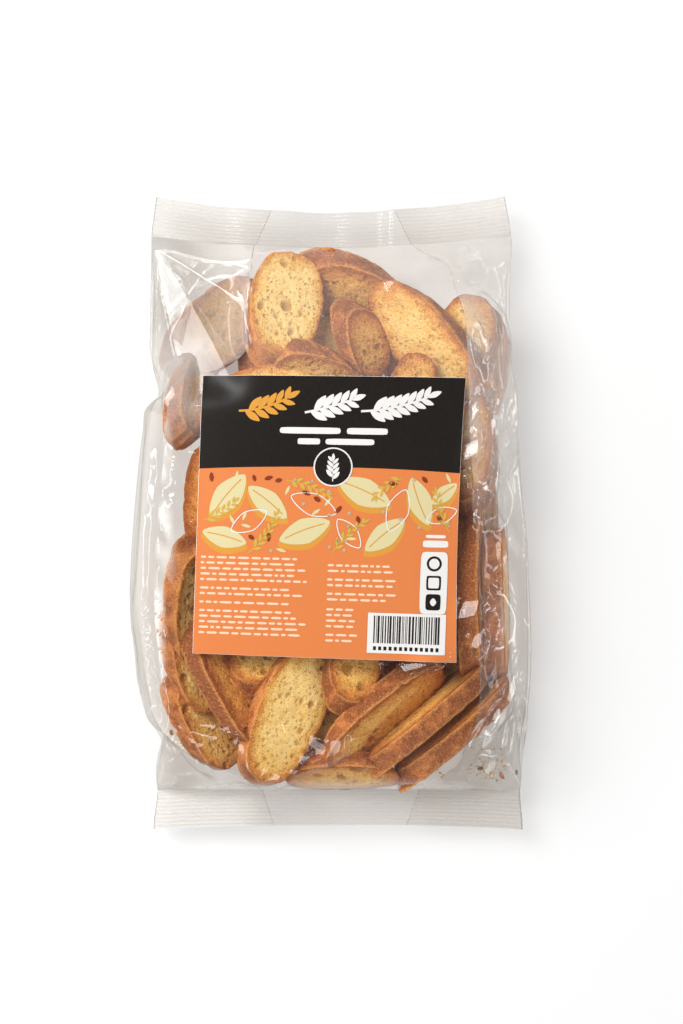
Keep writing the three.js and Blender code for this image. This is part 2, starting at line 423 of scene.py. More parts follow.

# Where each slice is meant to lie: the middle of its upper face at x, y, z, its long axis along `heading`,
# and its face leaning by `lean` towards `towards`, in degrees from +X. `slant` is how far along the long axis
# the cut shifts the upper face beside the lower. `bake` is how brown it is: partly how toasted it is, and
# partly painted shade, set higher for slices that lie deep in the heap or in shadow.
# x, y, z, heading, lean, towards, length, width, slant, bake, step
SLICES = [
    (-48, -92, 17, 80, 8, 200, 60, 34, 10, 0.2, COARSE),
    (4, -103, 16, 12, 6, 80, 62, 40, -10, 0.6, COARSE),
    (-54, -24, 16, 95, 6, 180, 62, 35, 12, 0.1, COARSE),
    (-12, -40, 16, 75, 8, 30, 64, 34, -12, 0.2, COARSE),
    (28, -44, 16, 100, 8, 100, 60, 34, 10, 0.1, COARSE),
    (-18, 30, 16, 110, 8, 260, 62, 34, -10, 0.1, COARSE),
    (28, 30, 16, 70, 8, 10, 62, 34, 12, 0.1, COARSE),
    (-8, 84, 16, 12, 8, 80, 62, 34, 10, 0.2, COARSE),
    (46, 70, 16, 110, 8, 60, 60, 33, -10, 0.2, COARSE),
    (66, 2, 18, 88, 14, 180, 62, 34, 10, 0.6, COARSE),
    (72, -82, 14, 60, 8, 10, 56, 32, 8, 0.6, COARSE),
    (-30, -20, 31, 50, 12, 100, 62, 34, 10, 0.1, COARSE),
    (26, -8, 31, 120, 12, 200, 62, 34, 10, 0.1, COARSE),
    (-6, -30, 44, 20, 8, 100, 62, 34, 10, 0.1, COARSE),
    (2, 24, 44, 165, 6, 280, 62, 34, -10, 0.1, COARSE),
    (6, -133, 21, 3, 56, 265, 60, 26, 8, 1.6, FINE),
    (85, 80, 22, 84, 25, 200, 54, 28, 8, 1.0, FINE),
    (66, 85, 30, 75, 24, 200, 52, 32, 8, 0.8, FINE),
    (-68, 62, 30, 80, 58, 10, 46, 30, 8, 0.8, FINE),
    (-61, 95, 23, 48, 18, 320, 56, 37, 12, 1.2, FINE),
    (-64, 5, 34, 86, 36, 190, 60, 32, 10, 2.9, FINE),
    (-68, -48, 29, 84, 52, 350, 60, 31, -8, 0.4, FINE),
    (-68, -78, 25, -78, 40, 14, 50, 31, 10, 0.6, FINE),
    (13, 106, 28, -24, 45, 250, 60, 39, 10, 1.7, FINE),
    (18, 84, 36, -74, 42, 8, 36, 27, 8, 1.8, FINE),
    (-6, 64, 36, -20, 36, 260, 50, 32, 10, 1.4, FINE),
    (-30, 58, 39, 10, 12, 80, 60, 35, 10, 0.8, FINE),
    (66, 36, 36, 85, 24, 175, 56, 33, 12, 1.8, FINE),
    (88, -44, 22, 92, 80, 0, 78, 30, 6, 1.6, FINE),
    (76, -38, 27, 90, 80, 0, 80, 31, 6, 2.4, FINE),
    (60, -106, 20, 40, 79, 130, 76, 30, 6, 1.4, FINE),
    (46, -97, 24, 40, 78, 130, 76, 31, 6, 1.6, FINE),
    (28, -104, 30, 39, 54, 311, 76, 33, -6, 1.6, FINE),
    (-61, -107, 24, -64, 46, 26, 50, 31, 8, 1.3, FINE),
    (-46, -86, 33, -62, 48, 28, 72, 39, 8, 2.6, FINE),
    (-35, -66, 32, 60, 20, 90, 42, 30, 8, 0.8, FINE),
    (13, -72, 37, 80, 20, 30, 48, 29, 8, 1.6, FINE),
    (-21, -100, 39, 68, 24, 338, 76, 37, 5, 0.3, FINE),
    (40, 57, 45, 84, 8, 90, 50, 25, 8, 1.4, FINE),
    (44, 84, 43, -52, 35, 218, 78, 37, -10, 0.9, FINE),
    (-22, 105, 45, 82, 20, 15, 54, 39, 10, 0.0, FINE),
]


def bubbles(x, y, half_length, half_width, rng):
    """The pores that a saw cut opens: round and slightly stretched bubbles of gas. A point's depth is that of
    the deepest bubble over it, each a part of an ellipsoid under the face."""
    depth = np.zeros(x.shape)
    big = rng.uniform(1.5, 2.9, rng.integers(1, 5))
    sizes = np.concatenate([big, rng.uniform(0.75, 1.3, 14), rng.uniform(0.5, 0.75, 60)])
    for radius in sizes:
        turn, reach = rng.uniform(0, 2 * np.pi), 0.9 * np.sqrt(rng.uniform(0, 1))
        dx = x - half_length * reach * np.cos(turn)
        dy = y - half_width * reach * np.sin(turn)
        lie = rng.uniform(0, np.pi)
        along = (dx * np.cos(lie) + dy * np.sin(lie)) / rng.uniform(1.0, 1.5)
        across = dy * np.cos(lie) - dx * np.sin(lie)
        inside = radius**2 - along**2 - across**2
        depth = np.maximum(depth, 0.8 * np.sqrt(np.maximum(inside, 0)))
    return depth


def slice_shape(length, width, slant, step, seed):
    """A slice as a closed grid of points. Each face maps a square onto the loaf's oval by
    x = a sqrt(1 - b b / 2) and y = b sqrt(1 - a a / 2). The crust is rings from one face's rim to the
    other's, sheared along the slice as a slanting cut leaves them. Returns points, quads, each quad's
    material and the toast, pit and rim of each point."""
    rng = np.random.default_rng(seed)
    half_length, half_width = length / 2, width / 2
    rows, columns = max(round(length / step), 12), max(round(width / step), 8)
    a = np.linspace(-1, 1, rows + 1)[:, None]
    b = np.linspace(-1, 1, columns + 1)[None, :]
    unit_x, unit_y = a * np.sqrt(1 - b * b / 2), b * np.sqrt(1 - a * a / 2)
    turn = np.arctan2(unit_y, unit_x)
    squareness = (np.abs(np.cos(turn)) ** 2.3 + np.abs(np.sin(turn)) ** 2.3) ** (-1 / 2.3)
    waves = sum(
        rng.uniform(-1, 1) * 0.04 / k * np.cos(k * turn + rng.uniform(0, 6.3)) for k in (1, 2, 3, 4, 5, 7)
    )
    at_rim = np.stack([np.cos(turn) * half_length, np.sin(turn) * half_width, 0 * turn], -1)
    share = np.hypot(unit_x, unit_y)
    nibbles = 0.45 * lattice_noise(at_rim, 3.4, seed + 13) + 0.3 * lattice_noise(at_rim, 1.5, seed + 14)
    nibbled = share**8 * nibbles
    outline = squareness * (1 + waves - 0.07 * ramp(-np.sin(turn), 0.5, 1.0) + nibbled / half_width)
    x, y = half_length * unit_x * outline, half_width * unit_y * outline
    warp = rng.uniform(-0.9, 0.9) * (x / half_length) ** 2 + rng.uniform(-0.5, 0.5) * (y / half_width) ** 2

    around = rim_of(rows + 1, columns + 1)
    faces, pits = [], []
    for side in (1, -1):
        depth = bubbles(x, y, half_length, half_width, rng)
        flat = np.stack([x, y, np.zeros_like(x)], axis=-1)
        rough = 0.2 * lattice_noise(flat, 1.25, seed * 2 + side) + 0.3 * lattice_noise(flat, 5.0, seed + side)
        rough = rough + 0.22 * ramp(share, 0.75, 0.95) * lattice_noise(flat, 1.9, seed + 9)
        rounded = 0.3 * ramp(share, 0.95, 1.0)
        z = side * (SLICE_THICKNESS / 2 + rough - depth - rounded) + warp
        faces.append(np.stack([x * (1 - 0.02 * (share > 0.999)), y, z], axis=-1).reshape(-1, 3))
        pits.append(np.clip(depth / 1.2, 0, 1).ravel())

    front_rim, back_rim = faces[0][around], faces[1][around]
    rim_turn = turn.ravel()[around]
    middle_out = np.stack([np.cos(rim_turn) / half_length, np.sin(rim_turn) / half_width], -1)
    middle_out /= np.linalg.norm(middle_out, axis=1, keepdims=True)
    falls = np.linspace(0, 1, max(round(SLICE_THICKNESS / (1.6 * step)), 4) + 1)[1:-1]
    rings = []
    for fall in falls:
        ring = front_rim * (1 - fall) + back_rim * fall
        bulge = 0.4 * (1 - (2 * fall - 1) ** 8)
        bulge = bulge + 0.4 * lattice_noise(ring, 7.0, seed + 5) + 0.35 * lattice_noise(ring, 2.4, seed + 6)
        ring[:, :2] += middle_out * bulge[:, None]
        rings.append(ring)

    count = (rows + 1) * (columns + 1)
    points = np.concatenate(faces + rings)
    front = grid_quads(rows + 1, columns + 1)[:, [0, 3, 2, 1]]
    back = grid_quads(rows + 1, columns + 1, count)
    loop = len(around)
    chain = [around] + [2 * count + i * loop + np.arange(loop) for i in range(len(rings))] + [count + around]
    crust = np.concatenate(
        [
            np.stack([upper, lower, np.roll(lower, -1), np.roll(upper, -1)], axis=-1)
            for upper, lower in zip(chain[:-1], chain[1:])
        ]
    )
    quads = np.concatenate([front, back, crust])
    which = np.concatenate([np.zeros(len(front) + len(back)), np.ones(len(crust))])
    ragged = share + 0.05 * lattice_noise(np.stack([x, y, 0 * x], -1), 3.0, seed + 11)
    toast = 0.25 * ramp(ragged, 0.5, 0.9) + 0.45 * ramp(ragged, 0.8, 1.03)
    toast = np.concatenate([toast.ravel()] * 2 + [np.full(loop * len(rings), 0.7)])
    near_rim = np.clip(1 - np.minimum(falls, 1 - falls) * SLICE_THICKNESS / RIM_REACH, 0, 1)
    rim = np.concatenate([np.ones(2 * count), np.repeat(near_rim, loop)])
    pit = np.concatenate(pits + [np.zeros(loop * len(rings))])
    points[:, 2] -= SLICE_THICKNESS / 2
    points[:, 0] += slant * points[:, 2] / SLICE_THICKNESS
    return points, quads, which, toast, pit, rim


def facing(heading, lean, towards):
    """The turn, as a matrix of rows, that leans +Z by `lean` towards `towards` and keeps +X along `heading`
    as seen from above."""
    heading, lean, towards = np.radians([heading, lean, towards])
    normal = np.array([np.sin(lean) * np.cos(towards), np.sin(lean) * np.sin(towards), np.cos(lean)])
    along = np.array([np.cos(heading), np.sin(heading), 0.0])
    along[2] = -(normal @ along) / normal[2]
    along /= np.linalg.norm(along)
    return np.stack([along, np.cross(normal, along), normal])


ROUNDS, SEARCH_EVERY = 400, 25  # of settling, and how often it looks again for balls that are near each other
REACH_PER_BALL = 3.2  # mm of a slice's half length for each row of its balls
NEAR = 7  # balls count as near each other when the gap between them is under this
ALLOWED = 1.9  # times the radius: balls whose middles are closer than this overlap
SHARE_PER_ROUND = 0.42  # of its mean overlap, by which a ball moves in a round


def settle(places, turns, sizes, hold, hold_turn):
    """Pushes overlapping slices apart until they lie roughly beside each other and inside the bag. Each slice
    is filled with balls as thick as it is. In every round balls that overlap part, balls outside the bag come
    back in, and each slice moves and turns as the best rigid fit to where its balls went, while two weak
    pulls draw it back to how it was meant to lie: `hold`, a share of the way, and `hold_turn`, in mm2.
    Returns the settled places and turns."""
    radius = SLICE_THICKNESS / 2
    balls, owner = [], []
    for number, (length, width, slant) in enumerate(sizes):
        reach = np.array([length / 2, width / 2]) - radius * 0.95
        u, v = np.meshgrid(np.linspace(-1, 1, max(int(reach[0] / REACH_PER_BALL), 3)), np.linspace(-1, 1, 3))
        u, v = u.ravel(), v.ravel()
        x = reach[0] * u * np.sqrt(1 - v * v / 2) - slant / 2
        y = reach[1] * v * np.sqrt(1 - u * u / 2)
        balls.append(np.stack([x, y, np.full(len(x), -radius)], -1))
        owner.append(np.full(len(x), number))
    local, owner = np.concatenate(balls), np.concatenate(owner)
    count = np.bincount(owner).astype(float)
    middle = np.stack([np.bincount(owner, local[:, k]) for k in range(3)], -1) / count[:, None]
    arm = local - middle[owner]
    centre = places + np.einsum("ni,nij->nj", middle, turns)
    meant_centre, meant_turns = centre.copy(), turns.copy()
    first, second = np.triu_indices(len(local), 1)
    apart = owner[first] != owner[second]
    first, second = first[apart], second[apart]
    for round_number in range(ROUNDS):
        at = centre[owner] + np.einsum("ni,nij->nj", arm, turns[owner])
        if round_number % SEARCH_EVERY == 0:
            close = ((at[first] - at[second]) ** 2).sum(-1) < (2 * radius + NEAR) ** 2
            near_first, near_second = first[close], second[close]
        gap = at[near_first] - at[near_second]
        far = np.sqrt((gap**2).sum(-1)) + 1e-6
        overlap = np.maximum(ALLOWED * radius - far, 0)
        push = gap * (overlap / far)[:, None]
        total = np.empty_like(at)
        for k in range(3):
            total[:, k] = np.bincount(near_first, push[:, k], len(at))
            total[:, k] -= np.bincount(near_second, push[:, k], len(at))
        touching = np.bincount(near_first, overlap > 0, len(at))
        touching += np.bincount(near_second, overlap > 0, len(at))
        moved = keep_in_film(at + SHARE_PER_ROUND * total / np.maximum(touching, 1)[:, None], radius)
        middle_now = np.stack([np.bincount(owner, moved[:, k]) for k in range(3)], -1) / count[:, None]
        spread = moved - middle_now[owner]
        cross = np.stack(
            [[np.bincount(owner, arm[:, i] * spread[:, j]) for j in range(3)] for i in range(3)]
        ).transpose(2, 0, 1)
        cross += (hold_turn * count)[:, None, None] * meant_turns
        u, _, v = np.linalg.svd(cross)
        u[:, :, 2] *= np.linalg.det(u @ v)[:, None]
        turns = u @ v
        centre = middle_now + hold[:, None] * (meant_centre - middle_now)
    return centre - np.einsum("ni,nij->nj", middle, turns), turns


def heap_of_slices(crumb, crust):
    """Makes every slice, settled against its neighbours. Slices that show are held more firmly to where they
    were meant to lie. Returns the points of each."""
    rows = np.array(SLICES, float)
    turns = np.stack([facing(*row[3:6]) for row in rows])
    shows = rows[:, 10] == FINE
    hold, hold_turn = np.where(shows, 0.06, 0.004), np.where(shows, 90.0, 4.0)
    places, turns = settle(rows[:, :3], turns, rows[:, 6:9], hold, hold_turn)
    laid = []
    for number, (row, place, turn) in enumerate(zip(rows, places, turns), 1):
        length, width, slant, bake, step = row[6:]
        points, quads, which, toast, pit, rim = slice_shape(length, width, slant, step, 100 + number)
        points = points @ turn + place
        # The bake value browns the crumb too: partly toasting, partly painted shade.
        toast = np.clip(toast + 0.22 * bake, 0, 1)
        laid.append(points)
        make_piece(
            f"slice_{number:02d}",
            points,
            quads,
            [crumb, crust],
            "toasted_crumb",
            which,
            toast=toast,
            pit=pit,
            rim=rim,
            bake=np.full(len(points), 0.13 * bake),
        )
    return laid


# --------------------------------------------------------------------------------------------------
# Crumbs and seeds
# --------------------------------------------------------------------------------------------------

# Where crumbs and seeds have gathered on the back of the bag: x, y, how far they spread in x and y, how many.
CRUMB_SPOTS = [(80, -129, 9, 8, 60), (70, -134, 18, 4, 40), (-30, -136, 26, 3, 10), (-84, -118, 6, 10, 8)]
FLAKE_SPOTS = [(80, -130, 9, 8, 1), (-91, -48, 1, 3, 1), (-86, -100, 4, 14, 1)]
SEED_SPOTS = [(93, -134, 1, 1, 1), (76, -130, 8, 4, 1), (-86, -92, 3, 12, 1)]


def scattered_bits(name, spots, film, sizes, stretch, material, slot, seed):
    """Loose bits of one kind in one mesh: each a ball of 7 x 10 points, pressed out of round by a noise, as
    long as `stretch` times its own size, lying on the back film at a random place in one of the spots."""
    rng = np.random.default_rng(seed)
    back = film[:, BACK_FIRST:BACK_LAST].reshape(-1, 3)
    polar = np.linspace(0, np.pi, 7)[:, None]
    round_it = np.arange(10)[None, :] * 2 * np.pi / 10
    ball_x, ball_y = np.sin(polar) * np.cos(round_it), np.sin(polar) * np.sin(round_it)
    ball = np.stack([ball_x, ball_y, np.cos(polar) + 0 * round_it], -1)
    parts = []
    for x, y, spread_x, spread_y, count in spots:
        for _ in range(count):
            size = rng.uniform(*sizes)
            lumpy = ball * (1 + 0.28 * lattice_noise(ball + rng.uniform(0, 99, 3), 0.8, seed)[..., None])
            lumpy[[0, -1]] = lumpy[[0, -1]].mean(axis=1, keepdims=True)
            turn = rng.uniform(0, np.pi)
            bit = lumpy * np.array(stretch) * size / 2
            c, s = np.cos(turn), np.sin(turn)
            place = np.array([x + spread_x * rng.uniform(-1, 1), y + spread_y * rng.uniform(-1, 1)])
            nearest = ((back[:, :2] - place) ** 2).sum(-1).argmin()
            height = back[nearest, 2] + FILM_GAP - bit[..., 2].min()
            bit_x, bit_y, bit_z = bit[..., 0], bit[..., 1], bit[..., 2]
            bit = np.stack([bit_x * c - bit_y * s, bit_x * s + bit_y * c, bit_z], -1)
            parts.append((bit.reshape(-1, 3) + [*place, height], grid_quads(7, 10, wrap=True)))
    points, quads = joined(parts)
    same = np.zeros(len(points))
    return make_piece(
        name, points, quads[:, ::-1], [material], slot, toast=same, pit=same, rim=same, bake=same
    )


def seed_coat():
    """The coat of sesame and flax seeds, toasted: smooth, waxy, brown with a slight mottle."""
    material, tree, output = new_material("seed_coat")
    place = add(tree, "ShaderNodeTexCoord").outputs["Object"]
    mottle = add(tree, "ShaderNodeTexNoise", {"Vector": place, "Scale": 900.0, "Detail": 2.0}).outputs["Fac"]
    shade = colour_ramp(tree, mottle, [(0.35, "#6E4424"), (0.65, "#A5733C")])
    shader = add(tree, "ShaderNodeBsdfPrincipled", {"Base Color": shade, "Roughness": 0.4})
    tree.links.new(shader.outputs[0], output.inputs["Surface"])
    return material


# --------------------------------------------------------------------------------------------------
# Film
# --------------------------------------------------------------------------------------------------

SEAL_DEPTH = 20.0
SEAL_HEIGHT = 13.0
SEAL_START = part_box("bag")[1][1] / MM - SEAL_DEPTH  # |y| of the seals' inner edges
TOP_SAG, BOTTOM_SAG, SAG_REACH = 8.5, 2.5, 70.0
TUCK_DEPTH = 57.0  # how far each gusset is folded in at the seals
RIGHT_FOLD = 0.62  # share of the fold that stays all along the right side
BULGE = 15.0  # how far the left gusset swells past the crease of the front
FILM_GAP, BACK_GAP = 0.35, 0.3  # left between the film and what is in it, and under the slices
LOWEST = 0.15  # height of the film's lowest points

# Cells across the front, across a gusset and along the bag. The coarsest grid has a quarter of them, so all
# divide by 4.
FRONT_CELLS, SIDE_CELLS, LONG_CELLS = 124, 44, 192
BACK_FIRST = FRONT_CELLS + SIDE_CELLS
BACK_LAST = BACK_FIRST + FRONT_CELLS
COLUMN = np.arange(BACK_LAST + SIDE_CELLS)  # the film's columns run along the front to the right, and round
ON_FRONT = COLUMN <= FRONT_CELLS
ON_RIGHT = (COLUMN > FRONT_CELLS) & (COLUMN < BACK_FIRST)
ON_LEFT = COLUMN > BACK_LAST
ON_BACK = ~ON_FRONT & ~ON_RIGHT & ~ON_LEFT


def end_sag(y, across):
    """How far the nearest end of the bag is drawn in, at a share `across` of the half width from the
    middle."""
    most = np.where(y > 0, -TOP_SAG, BOTTOM_SAG)
    reach = ramp(np.abs(y), SEAL_START + SEAL_DEPTH - SAG_REACH, SEAL_START + SEAL_DEPTH)
    return most * reach * (1 - across**2)


def seal_wave(x, y):
    """Height of the middle of a seal: it hangs in long shallow waves, with a sharper kink right of the
    middle."""
    top = 5.0 * ramp(x, -62, -28) - 6.5 * ramp(x, -27, -6) + 2.5 * ramp(x, -2, 12) + 4.0 * ramp(x, 21, 32)
    top = top - 3.5 * ramp(x, 34, 62) + 0.25 * np.sin(x / 4.3)
    bottom = 1.3 * np.sin(x / 21.0 + 2.0) + 0.3 * np.sin(x / 8.0 + 1.0)
    return SEAL_HEIGHT + np.where(y > 0, top, bottom)


def path_point(points, share):
    """Points spaced along broken lines by their share of the length. points is corners x rows x 2."""
    legs = np.linalg.norm(np.diff(points, axis=0), axis=-1)
    reached = np.concatenate([np.zeros((1, legs.shape[1])), np.cumsum(legs, axis=0)])
    reached = reached / reached[-1]
    out = np.empty((len(share), points.shape[1], 2))
    for row in range(points.shape[1]):
        for k in (0, 1):
            out[:, row, k] = np.interp(share, reached[:, row], points[:, row, k])
    return out


def film_form():
    """The bag before it crumples, rows along Y by columns around it: front from left to right, right gusset,
    back from right to left, left gusset. A gusset is a mix of two paths from the front's crease to the
    back's, one folded in like a W, one swelling out, by how far the row is from a seal."""
    y = np.linspace(-SEAL_START, SEAL_START, LONG_CELLS + 1)
    left, right, crown = edge_and_crown(y)
    from_end = SEAL_START - np.abs(y)
    fold_left = 1 - np.where(y > 0, ramp(from_end, 58, 92), ramp(from_end, 2, 38))
    fold_right = np.maximum(1 - ramp(from_end, -6, 42), RIGHT_FOLD)
    back = (SEAL_HEIGHT - 0.4) * (1 - ramp(from_end, 0, 26)) + 0.3
    swell = ramp(from_end, 0, 50)
    crease_left = left + BULGE * swell * (1 - fold_left)
    crease_right = right - BULGE * swell * (1 - fold_right)
    share = np.linspace(0, 1, FRONT_CELLS + 1)
    front_x = crease_left + (crease_right - crease_left) * share[:, None]
    front_z = front_height(front_x * 0.985, y[None, :])
    foot = 5.0 * swell
    back_x = (crease_right - foot) + (crease_left - crease_right + 2 * foot) * share[:, None]
    back_z = np.broadcast_to(back, back_x.shape)
    sides = []
    along = np.linspace(0, 1, SIDE_CELLS + 1)
    both_sides = [(1, right, crease_right, fold_right), (-1, left, crease_left, fold_left)]
    for sign, edge, crease, folded in both_sides:
        start = np.stack([crease, front_height(crease * 0.985, y)], -1)
        inner_x = edge - sign * TUCK_DEPTH
        inner = np.stack([inner_x, front_height(inner_x, y) - 1.5 - 2 * swell], -1)
        shoulder = np.stack([edge - sign * 2, 0.5 * (start[:, 1] + back)], -1)
        end = np.stack([crease - sign * foot, back], -1)
        widest = np.stack([edge, CREASE_SHARE * crown * swell + SEAL_HEIGHT * (1 - swell)], -1)
        high = start * [1, 1] + [sign * 4, -5] * swell[:, None]
        low = np.stack([edge - sign * 4 * swell, back + 5 * swell], -1)
        w_fold = path_point(np.stack([start, inner, shoulder, end]), along)
        open_side = path_point(np.stack([start, high, widest, low, end]), along)
        sides.append(w_fold * folded[None, :, None] + open_side * (1 - folded[None, :, None]))
    right_side, left_side = sides[0], sides[1][::-1]
    x = np.concatenate([front_x[:-1], right_side[:-1, :, 0], back_x[:-1], left_side[:-1, :, 0]])
    z = np.concatenate([front_z[:-1], right_side[:-1, :, 1], back_z[:-1], left_side[:-1, :, 1]])
    x, z = x.T, z.T
    across = (x - ((left + right) / 2)[:, None]) / ((right - left) / 2)[:, None]
    rows = np.broadcast_to(y[:, None], x.shape)
    lift = 1 - ramp(from_end, 0, 30)
    z = z + ((seal_wave(x, rows) - SEAL_HEIGHT) * lift[:, None])
    return np.stack([x, rows + end_sag(rows, across), z], -1), fold_left, fold_right


class Contents:
    """The space the slices fill, as heights over X and Y, and as widths over Y and Z."""

    CELL = 1.5
    SIZE = np.array([220.0, 330.0, 60.0])  # of the box they lie in

    def __init__(self, clouds):
        points = np.concatenate(clouds)
        self.low = np.array([-110.0, -165.0, -2.0])
        shape = (self.SIZE / self.CELL).astype(int) + 1
        i, j, k = np.clip(((points - self.low) / self.CELL).astype(int), 0, shape - 1).T
        self.top = np.full(shape[:2], -50.0)
        self.bottom = np.full(shape[:2], 99.0)
        self.right = np.full(shape[1:], -200.0)
        self.left = np.full(shape[1:], 200.0)
        np.maximum.at(self.top, (i, j), points[:, 2])
        np.minimum.at(self.bottom, (i, j), points[:, 2])
        np.maximum.at(self.right, (j, k), points[:, 0])
        np.minimum.at(self.left, (j, k), points[:, 0])
        self.touch = spread_and_blurred(self.top, 2, 2)
        self.top = self.spanned(spread_and_blurred(self.top, 1, 1))
        self.right = spread_and_blurred(self.right, 3, 3)
        self.bottom = -spread_and_blurred(-self.bottom, 2, 2)
        self.left = -spread_and_blurred(-self.left, 3, 3)

    def spanned(self, top):
        """A skin stretched over the tops: again and again the mean of its neighbours, but nowhere below the
        tops, and held along the bag's edges and seals."""
        x = self.low[0] + self.CELL * (np.arange(top.shape[0])[:, None] + 0.5)
        y = self.low[1] + self.CELL * (np.arange(top.shape[1])[None, :] + 0.5)
        left, right, _ = edge_and_crown(y)
        held = (x < left + 8) | (x > right - 8) | (np.abs(y) > SEAL_START - 4)
        edge = front_height(x, y) - 1.0
        skin = np.maximum(top, edge)
        for _ in range(250):
            skin = np.where(held, edge, np.maximum(sum(nine_around(skin)) / 9, top))
        return skin

    def read(self, table, points, first, second):
        """A table's value at each point, by the two axes it is laid out on, blended between four cells."""
        p = np.clip((points[..., first] - self.low[first]) / self.CELL - 0.5, 0, table.shape[0] - 1.001)
        q = np.clip((points[..., second] - self.low[second]) / self.CELL - 0.5, 0, table.shape[1] - 1.001)
        i, j = p.astype(int), q.astype(int)
        p, q = p - i, q - j
        flat, at = table.ravel(), i * table.shape[1] + j
        low = flat[at] * (1 - q) + flat[at + 1] * q
        high = flat[at + table.shape[1]] * (1 - q) + flat[at + table.shape[1] + 1] * q
        return low * (1 - p) + high * p


def pull(a, b, rest, stiffness):
    """Moves the ends a and b of links towards their rest lengths, in place."""
    gap = b - a
    length = np.sqrt((gap**2).sum(-1)) + 1e-9
    gap *= (stiffness * 0.5 * (length - rest) / length)[..., None]
    a += gap
    b -= gap


def link_lengths(points, hop_row, hop_column):
    """Distance from each point to the one hop_row rows and hop_column columns on, columns wrapping."""
    there = np.roll(points, -hop_column, axis=1)[hop_row:]
    return np.linalg.norm(there - points[: len(points) - hop_row], axis=-1)


UNEVENNESS = 0.08  # mm by which points start off their form, so that the film has somewhere to buckle from
MOST_PUSH, MOST_SINK, MOST_SPEED = 1.0, 0.5, 0.5  # mm in a round
DAMPING = 0.85  # share of a round's motion that goes on into the next


def relax_from(points, form, rests, contents, regions, rounds, seed):
    """Lets a skin whose links are a little too long for its shape buckle, as stiff thin film does. Every
    round gives each link its length again, even links first and then odd, of which the long ones straighten
    bends, pushes the film off the slices and the floor, and draws it towards its form."""
    rng = np.random.default_rng(seed)
    points = points + rng.normal(0, UNEVENNESS, points.shape)
    top, side, under, hold, ceiling = regions
    speed = np.zeros_like(points)
    columns = points.shape[1]
    for _ in range(rounds):
        before = points.copy()
        points += speed
        for (hop_row, hop_column), (rest, stiffness) in rests.items():
            if hop_row and not hop_column:
                for start in range(2):
                    rows = np.arange(start * hop_row, len(points) - hop_row)
                    rows = rows[(rows // hop_row) % 2 == start]
                    a, b = points[rows], points[rows + hop_row]
                    pull(a, b, rest[rows], stiffness)
                    points[rows], points[rows + hop_row] = a, b
            else:
                shifted = np.arange(columns)
                for start in range(2):
                    pick = shifted[(shifted // max(hop_column, 1)) % 2 == start]
                    other = (pick + hop_column) % columns
                    low = points[: len(points) - hop_row]
                    high = points[hop_row:]
                    a, b = low[:, pick], high[:, other]
                    pull(a, b, rest[:, pick], stiffness)
                    if hop_row:
                        low[:, pick] = a
                        high[:, other] = b
                    else:
                        points[:, pick], points[:, other] = a, b
        points += hold[..., None] * (form - points)
        lift = contents.read(contents.top, points, 0, 1) + FILM_GAP - points[..., 2]
        points[..., 2] += np.where(top & (lift > 0), np.minimum(lift, MOST_PUSH), 0)
        out = contents.read(contents.right, points, 1, 2) + FILM_GAP - points[..., 0]
        points[..., 0] += np.where((side > 0) & (out > 0), np.minimum(out, MOST_PUSH), 0)
        out = points[..., 0] - contents.read(contents.left, points, 1, 2) + FILM_GAP
        points[..., 0] -= np.where((side < 0) & (out > 0), np.minimum(out, MOST_PUSH), 0)
        sink = points[..., 2] - contents.read(contents.bottom, points, 0, 1) + BACK_GAP
        points[..., 2] -= np.where(under & (sink > 0), np.minimum(sink, MOST_SINK), 0)
        points[..., 2] = np.maximum(points[..., 2], LOWEST)
        points[..., 2] = np.minimum(points[..., 2], ceiling)
        points[0], points[-1] = form[0], form[-1]
        speed = DAMPING * (points - before)
        speed *= np.minimum(1, MOST_SPEED / (np.linalg.norm(speed, axis=-1, keepdims=True) + 1e-9))
    return points


def finer(values):
    """A grid with twice the cells each way, by halves, columns wrapping."""
    rows = np.empty((2 * len(values) - 1, *values.shape[1:]))
    rows[::2] = values
    rows[1::2] = (values[1:] + values[:-1]) / 2
    out = np.empty((len(rows), 2 * rows.shape[1], *rows.shape[2:]))
    out[:, ::2] = rows
    out[:, 1::2] = (rows + np.roll(rows, -1, axis=1)) / 2
    return out


# The grids, from coarse to fine: the step between the points that each keeps, and its rounds. Links join
# points so many rows and columns apart, with a stiffness. The finer grids have longer ones too.
GRIDS = [(4, 260), (2, 220), (1, 160)]
LINKS = [(0, 1, 1.0), (1, 0, 1.0), (1, 1, 0.8), (1, -1, 0.8), (0, 2, 0.3), (2, 0, 0.3)]
LONG_LINKS, LONGEST_LINKS = [(0, 4, 0.18), (4, 0, 0.18)], [(0, 8, 0.1), (8, 0, 0.1)]


def film_slack(form, under_label):
    """How many times too long the film is for its form, across the bag and along it: more near its ends and
    in its gussets, in soft patches, and not at all under the label."""
    from_end = SEAL_START - np.abs(form[..., 1])
    in_gusset = (ON_RIGHT | ON_LEFT)[None, :]
    near_side = np.abs(form[..., 0]) > 62
    across = 1.006 + 0.012 * (1 - ramp(from_end, 0, 55)) + 0.015 * in_gusset + 0.006 * near_side
    along = 1.002 + 0.006 * (1 - ramp(from_end, 0, 40))
    patches = (1 + 0.8 * lattice_noise(form, 34.0, 3)) * (1 - 0.85 * calm(form))
    return [np.where(under_label, 1.0, 1 + (slack - 1) * patches) for slack in (across, along)]


